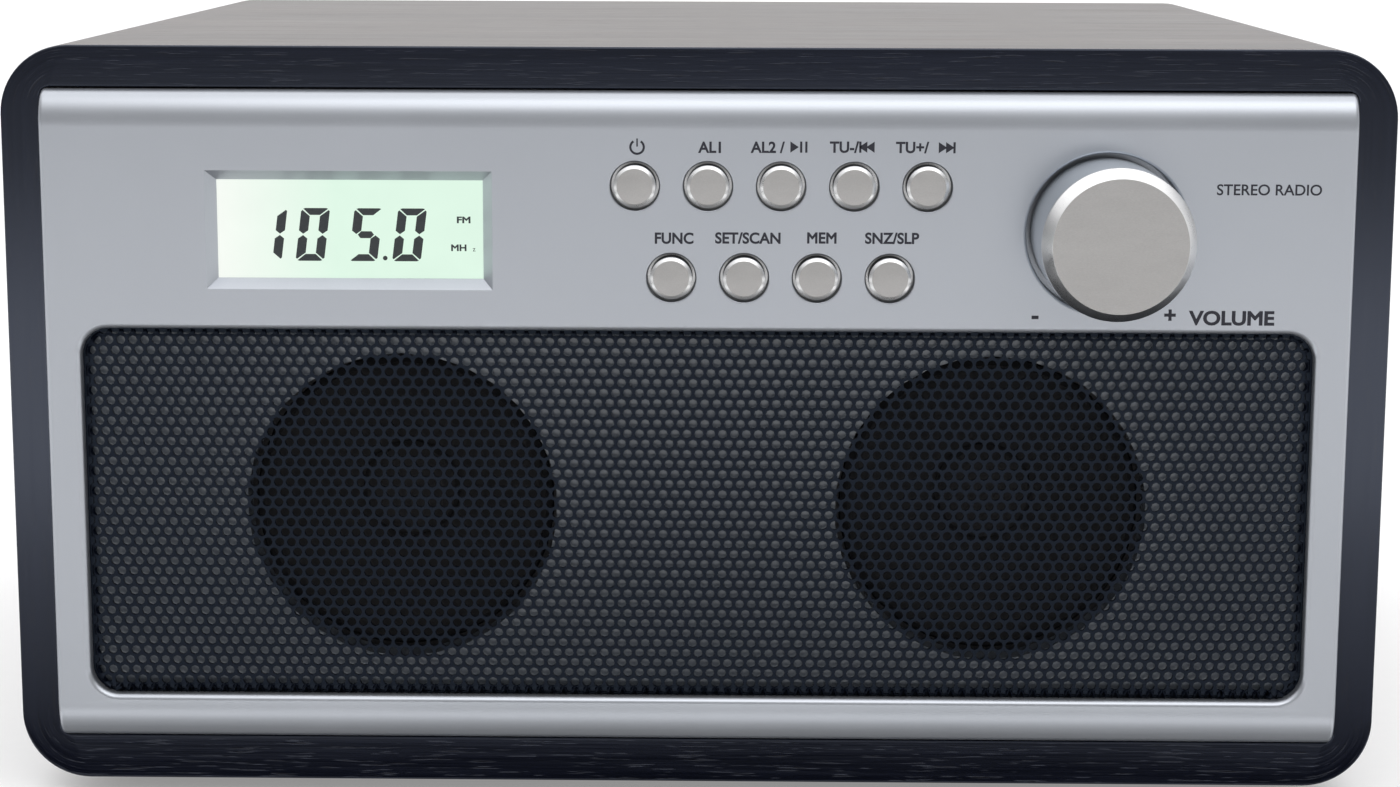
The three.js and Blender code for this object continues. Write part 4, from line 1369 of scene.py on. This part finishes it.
@dataclass
class Display:
    """The lit display, with its figures as dark segments on the glass."""

    border: float = 2 * MM
    glass_edge: float = 0.25 * MM
    slant: float = math.tan(math.radians(7.5))
    figure: Point = (6.2 * MM, 11.5 * MM)
    stroke: float = 2.0 * MM
    bar: float = 1.5 * MM
    gap: float = 0.28 * MM
    ink: float = 0.06 * MM
    dot: float = 0.5 * MM
    middle_z: float = 122.93 * MM
    figures: tuple[tuple[str, float], ...] = (
        ("1", -92.05 * MM), ("0", -82.83 * MM), ("5", -71.35 * MM), ("0", -61.92 * MM),
    )
    labels: tuple[Label, ...] = (
        Label("FM", -50.2, 126.27, 1.35, 0.07, 1.3),
        Label("MH", -51.3, 120.2, 1.35, 0.07, 1.2),
        Label("z", -48.0, 119.95, 1.05, 0.0, 1.0),
    )
    point: Vector = field(default_factory=lambda: spot(-67.25 * MM, 0, 117.85 * MM))
    glass: Extent = field(default_factory=lambda: Extent.of("display_glass"))

    SEGMENTS = {"0": "abcdef", "1": "bc", "5": "afgcd"}

    @property
    def window(self) -> Outline:
        """Window of the moulding, at its back."""
        size, centre = self.glass.size, self.glass.centre
        border = 2 * self.border
        return Outline(size.x - border, size.z - border, 0.0, centre.x, centre.z)

    def build(self) -> None:
        """Makes the lit glass and its figures."""
        low, high = self.glass.low, self.glass.high
        pane = soften(block("display_pane", low, high), self.glass_edge, 2)
        lit = LitDisplay(
            "lit_display", (0.76, 0.965, 0.82), (0.97, 1.0, 0.95), grain=0.2 * MM, cloud=9 * MM,
            roughness=(0.5, 0.6), left=low.x, right=high.x,
        )
        mount(smooth(dress(pane, lit)), ["display_glass"])
        shapes = [
            shape
            for character, x in self.figures
            for shape in self.character(character, x)
        ]
        face = self.glass.low.y - self.ink
        place = Vector((self.point.x, face, self.point.z))
        shapes.append(rod("dot", self.dot, 0, self.ink, place, sides=24))
        shapes += [lettering(label, face) for label in self.labels]
        mount(dress(join("display_figures", shapes), SEGMENT))

    def character(self, character: str, x: float) -> list[bpy.types.Object]:
        """Makes the segments of one figure.

        Args:
            character: The figure.
            x: Its middle.

        Returns:
            Its segments.
        """
        middle = spot(x, 0, self.middle_z)
        y = self.glass.low.y - self.ink
        made = []
        for segment in self.SEGMENTS[character]:
            corners = [
                Vector((middle.x + u + v * self.slant, y, middle.z + v))
                for u, v in self.segment(segment)
            ]
            made.append(outlined("segment", corners, Vector((0, self.ink, 0))))
        return made

    def segment(self, segment: str) -> list[Point]:
        """Corners of one segment, about the middle of its figure."""
        wide, high = self.figure[0] / 2, self.figure[1] / 2
        s, t, g = self.stroke, self.bar, self.gap / 2
        bar = [
            (-wide + 3 * g, high - g), (-wide + 6 * g, high), (wide - 6 * g, high),
            (wide - 3 * g, high - g), (wide - s, high - t), (-wide + s, high - t),
        ]
        post = [
            (wide, high - 5 * g), (wide, t / 2 + g), (wide - s / 2, g), (wide - s, t / 2 + g),
            (wide - s, high - t - 2 * g), (wide - 2 * g, high - 3 * g),
        ]
        middle = t / 2
        dash = [
            (-wide + s * 0.6 + g, 0), (-wide + s, middle), (wide - s, middle),
            (wide - s * 0.6 - g, 0), (wide - s, -middle), (-wide + s, -middle),
        ]
        shapes = {
            "a": bar,
            "b": post,
            "c": [(u, -v) for u, v in post],
            "d": [(u, -v) for u, v in bar],
            "e": [(-u, -v) for u, v in post],
            "f": [(-u, v) for u, v in post],
            "g": dash,
        }
        return shapes[segment]


def box_points(x: float, half: float, low: float, high: float) -> list[Point]:
    """Corners of an upright bar, from its middle, half width, foot and head."""
    return [(x - half, low), (x + half, low), (x + half, high), (x - half, high)]


@dataclass
class Printing:
    """The dark labels and signs printed on the silver front."""

    proud: float = 0.03 * MM
    thick: float = 0.04 * MM
    labels: tuple[Label, ...] = (
        Label("AL1", 3.1, 142.5),
        Label("AL2 /", 15.2, 142.55),
        Label("TU-/", 31.5, 142.65),
        Label("TU+/", 46.0, 142.65),
        Label("FUNC", -4.8, 122.9),
        Label("SET/SCAN", 11.1, 123.0),
        Label("MEM", 26.9, 123.1),
        Label("SNZ/SLP", 41.9, 123.1),
        Label("VOLUME", 115.15, 106.15, 2.95, 0.15, 1.10),
        Label("-", 72.9, 106.7, 3.4, 0.16, 1.0),
        Label("+", 101.85, 106.7, 3.2, 0.16, 1.0),
        Label("STEREO RADIO", 122.2, 133.9, 2.3, 0.05, 1.0),
    )

    def build(self) -> None:
        """Makes all the labels as one printed layer."""
        face = Extent.of("front_panel").low.y - self.proud
        shapes = [lettering(label, face) for label in self.labels]
        shapes += self.power_sign(face, -12.7, 142.45)
        shapes += self.arrows(face, 20.0, 142.6, [0], 1)
        shapes += self.bars(face, [22.3, 23.4], 142.6)
        shapes += self.arrows(face, 36.4, 142.65, [0, 1.55], -1) + self.bars(face, [34.9], 142.65)
        shapes += self.arrows(face, 51.6, 142.6, [0, 1.55], 1) + self.bars(face, [54.95], 142.6)
        mount(dress(join("printed_labels", shapes), INK))

    def sign(self, face: float, corners: Sequence[Point]) -> bpy.types.Object:
        """Makes one flat sign from its corners in millimetres."""
        points = []
        for x, z in corners:
            place = spot(x * MM, 0, z * MM)
            points.append(Vector((place.x, face, place.z)))
        return outlined("sign", points, Vector((0, self.thick, 0)))

    def arrows(
        self, face: float, x: float, z: float, steps: Sequence[float], way: int
    ) -> list[bpy.types.Object]:
        """Makes a row of solid arrowheads that point one way."""
        tall, deep = 1.2, 1.8
        heads = []
        for step in steps:
            foot = x + step
            corners = [(foot, z - tall * way), (foot + deep * way, z), (foot, z + tall * way)]
            heads.append(self.sign(face, corners))
        return heads

    def bars(self, face: float, places: Sequence[float], z: float) -> list[bpy.types.Object]:
        """Makes upright bars at several places."""
        half, tall = 0.24, 1.2
        return [self.sign(face, box_points(x, half, z - tall, z + tall)) for x in places]

    def power_sign(self, face: float, x: float, z: float) -> list[bpy.types.Object]:
        """Makes the sign of a broken ring with an upright stroke."""
        outer, inner, gap = 1.68, 1.2, 32
        turns = [math.radians(90 + gap + i * (360 - 2 * gap) / 28) for i in range(29)]
        arc = [(x + outer * math.cos(t), z + outer * math.sin(t)) for t in turns]
        arc += [(x + inner * math.cos(t), z + inner * math.sin(t)) for t in reversed(turns)]
        stroke = box_points(x, 0.16, z + 0.1, z + 1.85)
        return [self.sign(face, arc), self.sign(face, stroke)]


# ------------------------------------------------------------------ controls


BUTTON_NAMES = (
    "power", "alarm_1", "alarm_2", "tune_down", "tune_up", "function", "scan", "memory", "snooze",
)


@dataclass
class Buttons:
    """The nine turned metal push buttons."""

    cap: float = 4.55 * MM
    slope: Step = Step(0.7 * MM, 0.6 * MM)
    edge: float = 0.1 * MM
    flange: float = 5.75 * MM
    flange_front: float = -1.2 * MM
    flange_depth: float = 1.2 * MM
    stem: float = 2 * MM

    def build(self) -> None:
        """Turns one button and copies it to each place."""
        first = Extent.of(BUTTON_NAMES[0] + "_button")
        front, back = 0.0, first.size.y
        start = first.low.y
        behind = spot(0, self.flange_front, 0).y - start
        slope, edge = self.slope, self.edge
        profile = [
            (0.0, front), (self.cap - slope.inset - edge, front),
            (self.cap - slope.inset, front + edge / 3),
            (self.cap - edge, front + slope.ahead - edge), (self.cap, front + slope.ahead + edge),
            (self.cap, behind), (self.flange, behind), (self.flange, behind + self.flange_depth),
            (self.stem, behind + self.flange_depth), (self.stem, back), (0.0, back),
        ]
        button = turned("button", profile, Vector((first.centre.x, start, first.centre.z)))
        dress(button, SATIN_METAL, BRIGHT_METAL, BLACK_PLASTIC_AND_GAP_SHADE)
        rim = self.cap - slope.inset - edge / 2
        middle = first.centre
        # The cap's side and the parts behind it are dressed black as painted shade in the gap round the
        # cap.
        paint_faces(button, 2, lambda c, n: n.y > -0.3)
        paint_faces(
            button,
            1,
            lambda c, n: n.y < -0.3 and math.hypot(c.x - middle.x, c.z - middle.z) > rim,
        )
        smooth(button, 25)
        for name in BUTTON_NAMES:
            move = Extent.of(name + "_button").centre - middle
            cap = copy_of(button, name + "_cap", move)
            mount(cap, [name + "_button"], name + "_button")
        bpy.data.objects.remove(button)


@dataclass
class VolumeKnob:
    """The large turned knob: a satin face, a polished slope and a painted side."""

    slope: Step = Step(1.95 * MM, 2.9 * MM)
    shell: float = 1.2 * MM
    edge: float = 0.22 * MM
    knob: Extent = field(default_factory=lambda: Extent.of("volume_knob_shell"))

    def build(self) -> None:
        """Makes the knob's skin."""
        radius, depth = self.knob.radius, self.knob.size.y
        slope, edge, shell = self.slope, self.edge, self.shell
        face = radius - slope.inset
        profile = [
            (0.0, 0.0), (face - edge, 0.0), (face - edge / 3, edge / 4), (face + edge / 2, edge * 1.2),
            (radius - edge / 2, slope.ahead - edge), (radius, slope.ahead + edge), (radius, depth - edge),
            (radius - edge, depth), (radius - shell, depth), (radius - shell, slope.ahead),
            (face - shell, shell), (0.0, shell),
        ]
        centre = self.knob.centre
        start = Vector((centre.x, self.knob.low.y, centre.z))
        skin = turned("knob_skin", profile, start, sides=144)
        dress(skin, SATIN_METAL, BRIGHT_METAL, KNOB_PAINT)
        slope_end = start.y + slope.ahead + edge / 2

        def on_slope(c: Vector, n: Vector) -> bool:
            """Says whether a face is on the polished slope."""
            return n.y < -0.05 and math.hypot(c.x - centre.x, c.z - centre.z) > face - edge / 2

        paint_faces(skin, 2, lambda c, n: c.y > slope_end or n.y > 0)
        paint_faces(skin, 1, lambda c, n: on_slope(c, n) and c.y < slope_end)
        smooth(skin, 25)
        mount(skin, ["volume_knob_shell"], "volume_knob")


# ------------------------------------------------------------------ back, feet and aerial


@dataclass
class Fasteners:
    """The rear screws and the rubber feet."""

    head: float = 3.2 * MM
    head_depth: float = 1.9 * MM
    shank: float = 1.5 * MM
    head_edge: float = 0.5 * MM
    slot: float = 0.9 * MM
    slot_depth: float = 1.1 * MM
    sole_dish: float = 0.5 * MM
    foot_rise: float = 1.2 * MM

    def build(self) -> None:
        """Makes each screw and foot where its CAD node lies."""
        for end in ("lower", "upper"):
            for side in ("left", "right"):
                self.screw(f"{end}_{side}")
        for end in ("front", "rear"):
            for side in ("left", "right"):
                self.foot(f"{end}_{side}")

    def screw(self, name: str) -> None:
        """Makes a domed screw with a cross recess."""
        box = Extent.of(name + "_screw")
        length, head, edge = box.size.y, self.head, self.head_edge
        seat = length - self.head_depth
        dome = [
            (head * math.cos(t), seat + edge + (self.head_depth - edge) * math.sin(t))
            for t in (i / 6 * math.pi / 2 for i in range(7))
        ]
        profile = [(0.0, 0.0), (self.shank, self.shank), (self.shank, seat), (head, seat), *dome[:-1]]
        start = Vector((box.centre.x, box.low.y, box.centre.z))
        piece = turned(name + "_rear_screw", [*profile, (0.0, length)], start, sides=48)
        arms = []
        for wide, tall in ((head * 0.55, self.slot / 2), (self.slot / 2, head * 0.55)):
            low = Vector((start.x - wide, box.high.y - self.slot_depth, start.z - tall))
            high = Vector((start.x + wide, box.high.y + MM, start.z + tall))
            arms.append(block("arm", low, high))
        for arm in arms:
            carve(piece, [arm])
        mount(smooth(dress(piece, STEEL)), [name + "_screw"])

    def foot(self, name: str) -> None:
        """Makes a rubber foot with a rounded lower edge and a dished sole."""
        box = Extent.of(name + "_foot")
        radius, height, rise = box.size.x / 2, box.size.z, self.foot_rise
        arc = [
            (radius - rise + rise * math.sin(t), rise - rise * math.cos(t))
            for t in (i / 6 * math.pi / 2 for i in range(7))
        ]
        dish = self.sole_dish
        sole = [(0.0, dish), (radius * 0.62, dish), (radius * 0.68, 0.0)]
        profile = [*sole, *arc, (radius, height), (0.0, height)]
        start = Vector((box.centre.x, box.centre.y, box.low.z))
        piece = turned(name + "_rubber_foot", profile, start, Axis.Z, 64)
        mount(smooth(dress(piece, RUBBER)), [name + "_foot"])


@dataclass
class Aerial:
    """The four telescopic sections, as drawn tubes with rolled ends."""

    wall: float = 0.4 * MM
    roll: float = 0.25 * MM
    lug_radius: float = 3.4 * MM
    lug: float = 5 * MM
    pin_hole: float = 1.5 * MM
    plug: float = 5 * MM
    tip_rod: float = 1.4 * MM
    root_clear: float = 6.5 * MM
    tip: tuple[float, float] = (3.3 * MM, 6 * MM)

    def build(self) -> None:
        """Makes the sections from the hinge to the tip."""
        pin = Extent.of("aerial_hinge_pin").centre
        for number in range(1, 5):
            node = f"aerial_section_{number}"
            box = Extent.of(node)
            maker = {1: self.root, 4: self.tip_section}.get(number, self.tube)
            piece = maker(box, pin)
            piece.name = f"aerial_tube_{number}"
            mount(smooth(dress(piece, CHROME)), [node], node)

    def tube(self, box: Extent, pin: Vector) -> bpy.types.Object:
        """Makes an open tube with rolled ends."""
        radius, length = box.size.z / 2, box.size.x
        inner, roll = radius - self.wall, self.roll
        profile = [
            (inner, 0.0), (radius - roll, 0.0), (radius, roll), (radius, length - roll),
            (radius - roll, length), (inner, length), (inner, 0.0),
        ]
        return turned("tube", profile, Vector((box.low.x, pin.y, pin.z)), Axis.X, 40)

    def root(self, box: Extent, pin: Vector) -> bpy.types.Object:
        """Makes the outermost tube with the flat lug that turns on the hinge pin."""
        radius, roll = box.size.z / 2, self.roll
        length = pin.x - self.root_clear - box.low.x
        bore = radius - self.wall
        profile = [
            (bore, 0.0), (radius - roll, 0.0), (radius, roll), (radius, length - roll),
            (radius - roll, length), (0.0, length), (0.0, length - self.plug),
            (bore, length - self.plug), (bore, 0.0),
        ]
        piece = turned("root", profile, Vector((box.low.x, pin.y, pin.z)), Axis.X, 40)
        half = self.lug / 2
        eye = rod("eye", self.lug_radius, -half, half, pin, Axis.Z, 40)
        low = Vector((pin.x - self.root_clear - MM, pin.y - self.lug_radius, pin.z - half))
        neck = block("neck", low, Vector((pin.x, pin.y + self.lug_radius, pin.z + half)))
        for part in (eye, neck):
            carve(piece, [part], Cut.ADD)
        drill = rod("drill", self.pin_hole, -self.lug, self.lug, pin, Axis.Z, 24)
        return carve(piece, [drill])

    def tip_section(self, box: Extent, pin: Vector) -> bpy.types.Object:
        """Makes the solid innermost section with its rounded tip."""
        radius, length = self.tip_rod, box.size.x
        bulge, deep = self.tip
        cap = [
            (bulge * math.sin(t), bulge * 0.6 * (1 - math.cos(t)))
            for t in (i / 6 * math.pi / 2 for i in range(7))
        ]
        profile = [
            *cap, (bulge, deep - self.roll), (bulge - self.roll, deep), (radius, deep),
            (radius, length), (0.0, length),
        ]
        return turned("tip", profile, Vector((box.low.x, pin.y, pin.z)), Axis.X, 40)


CARRIED = {
    "speaker_baffle": BLACK_BOARD,
    "display_backlight": DIFFUSER,
    "display_holder": BLACK_PLASTIC_AND_GAP_SHADE,
    "control_board": CIRCUIT_BOARD,
    "volume_knob_core": BLACK_PLASTIC_AND_GAP_SHADE,
    "encoder_shaft": STEEL,
    "encoder_nut": STEEL,
    "encoder_body": STEEL,
    "rear_panel": BLACK_PLASTIC_AND_GAP_SHADE,
    "main_board": CIRCUIT_BOARD,
    "power_inlet": BLACK_PLASTIC_AND_GAP_SHADE,
    "audio_jack": BLACK_PLASTIC_AND_GAP_SHADE,
    "heat_sink": HEAT_SINK,
    "tuner_shield": STEEL,
    "filter_capacitor": BLACK_PLASTIC_AND_GAP_SHADE,
    "aerial_head": BLACK_PLASTIC_AND_GAP_SHADE,
    "aerial_hinge_pin": STEEL,
    **{f"{side}_speaker_basket": BLACK_PLASTIC_AND_GAP_SHADE for side in ("left", "right")},
    **{f"{side}_speaker_cone": PAPER for side in ("left", "right")},
    **{f"{side}_dust_cap": PAPER for side in ("left", "right")},
    **{f"{side}_speaker_magnet": FERRITE for side in ("left", "right")},
    **{f"{name}_switch": BLACK_PLASTIC_AND_GAP_SHADE for name in BUTTON_NAMES},
}


def dress_carried(nodes: dict[str, bpy.types.Object]) -> None:
    """Gives each CAD node that stays in sight its finish.

    Args:
        nodes: The frame's nodes by name.
    """
    for name, finish in CARRIED.items():
        node = nodes[name]
        if not node.material_slots:
            node.data.materials.append(None)
        for slot in node.material_slots:
            slot.material = finish.material()
        log.info("%s dressed in %s", name, finish.name)


# ------------------------------------------------------------------ studio


PALE_FLOOR = Finish(
    "pale_floor", (0.70, 0.70, 0.70), (0.72, 0.72, 0.72), grain=4 * MM, cloud=0.5,
    roughness=(0.7, 0.8), relief=0.01 * MM,
    constants=(("Emission Color", (1.0, 1.0, 1.0, 1.0)), ("Emission Strength", 0.25)),
)

# Brightness of the room by height, from straight down, 0, to straight up, 1.
FRONT_SKY = (
    (0.0, 0.16), (0.10, 0.35), (0.17, 0.45), (0.235, 1.60), (0.270, 1.80), (0.286, 0.45), (0.300, 0.05),
    (0.338, 0.05), (0.352, 0.50), (0.375, 0.95), (0.392, 1.75), (0.42, 1.70), (0.45, 0.60),
    (0.48, 0.32), (0.66, 0.32), (0.78, 0.92), (1.0, 1.50),
)
BACK_SKY = ((0.0, 0.3), (0.45, 0.9), (0.5, 1.2), (0.58, 1.2), (0.72, 1.2), (1.0, 1.7))


@dataclass
class Studio:
    """The pale floor, the soft light and the camera."""

    eye: Vector = Vector((0.00773, -0.6580, 0.20182))
    turn: tuple[float, float, float] = (81.2754, -0.1817, 0.7463)
    lens: float = 66.68
    shift: float = -0.0792
    sensor: float = 36
    near: float = 0.02
    floor_half: float = 12.0
    lamp_place: Vector = Vector((0.30, -1.25, 1.35))
    lamp_target: Vector = Vector((0, 0, 0.08))
    lamp_size: Point = (1.7, 0.8)
    lamp_watts: float = 5

    def build(self) -> None:
        """Sets up the camera, the floor and the light."""
        bpy.context.scene.view_settings.view_transform = "Standard"
        self.camera()
        self.floor()
        self.sky()
        self.softbox()

    def camera(self) -> None:
        """Places the camera."""
        camera = bpy.data.cameras.new("camera")
        camera.lens = self.lens
        camera.sensor_width = self.sensor
        camera.shift_y = self.shift
        camera.clip_start = self.near
        holder = bpy.data.objects.new("camera", camera)
        holder.location = self.eye
        holder.rotation_euler = [math.radians(angle) for angle in self.turn]
        bpy.context.scene.collection.objects.link(holder)
        bpy.context.scene.camera = holder

    def floor(self) -> None:
        """Lays the floor."""
        clear_selection()
        bpy.ops.mesh.primitive_plane_add(size=2 * self.floor_half)
        floor = settle(bpy.context.object, "studio_floor")
        dress(floor, PALE_FLOOR)
        floor.visible_glossy = False

    def softbox(self) -> None:
        """Hangs a soft lamp that faces the radio."""
        lamp = bpy.data.lights.new("key_light", "AREA")
        lamp.shape = "RECTANGLE"
        lamp.size, lamp.size_y = self.lamp_size
        lamp.energy = self.lamp_watts
        holder = bpy.data.objects.new("key_light", lamp)
        holder.location = self.lamp_place
        aim = self.lamp_target - self.lamp_place
        holder.rotation_euler = aim.to_track_quat("-Z", "Y").to_euler()
        bpy.context.scene.collection.objects.link(holder)

    def sky(self) -> None:
        """Lights the scene from all round, brighter above and behind."""
        world = bpy.data.worlds.new("soft_studio")
        world.use_nodes = True
        bpy.context.scene.world = world
        tree = world.node_tree
        source = tree.nodes.new("ShaderNodeTexCoord")
        split = tree.nodes.new("ShaderNodeSeparateXYZ")
        tree.links.new(source.outputs["Generated"], split.inputs["Vector"])
        height = tree.nodes.new("ShaderNodeMapRange")
        height.inputs["From Min"].default_value = -1
        tree.links.new(split.outputs["Z"], height.inputs["Value"])
        shades = []
        for stops in (FRONT_SKY, BACK_SKY):
            ramp = tree.nodes.new("ShaderNodeValToRGB")
            for stop in stops[2:]:
                ramp.color_ramp.elements.new(stop[0])
            for element, (position, level) in zip(ramp.color_ramp.elements, stops):
                element.position = position
                element.color = (level, level, level * 1.01, 1)
            tree.links.new(height.outputs["Result"], ramp.inputs["Fac"])
            shades.append(ramp.outputs["Color"])
        behind = tree.nodes.new("ShaderNodeMapRange")
        behind.inputs["From Min"].default_value = -0.1
        behind.inputs["From Max"].default_value = 0.3
        tree.links.new(split.outputs["Y"], behind.inputs["Value"])
        mix = tree.nodes.new("ShaderNodeMix")
        mix.data_type = "RGBA"
        tree.links.new(behind.outputs["Result"], mix.inputs["Factor"])
        colours = [s for s in mix.inputs if s.type == "RGBA"]
        for shade, socket in zip(shades, colours):
            tree.links.new(shade, socket)
        result = next(s for s in mix.outputs if s.type == "RGBA")
        tree.links.new(result, tree.nodes["Background"].inputs["Color"])


# ------------------------------------------------------------------ the whole radio


def main() -> None:
    """Builds the radio's looks around its frame."""
    logging.basicConfig(level=logging.INFO, format="%(message)s")
    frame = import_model()
    clear_selection()
    Studio().build()
    grille, display = Grille(), Display()
    Cabinet().build()
    FrontPanel().build(grille.opening, display.window)
    grille.build()
    display.build()
    Printing().build()
    Buttons().build()
    VolumeKnob().build()
    Fasteners().build()
    Aerial().build()
    dress_carried(frame["nodes"])


if __name__ == "__main__":
    main()
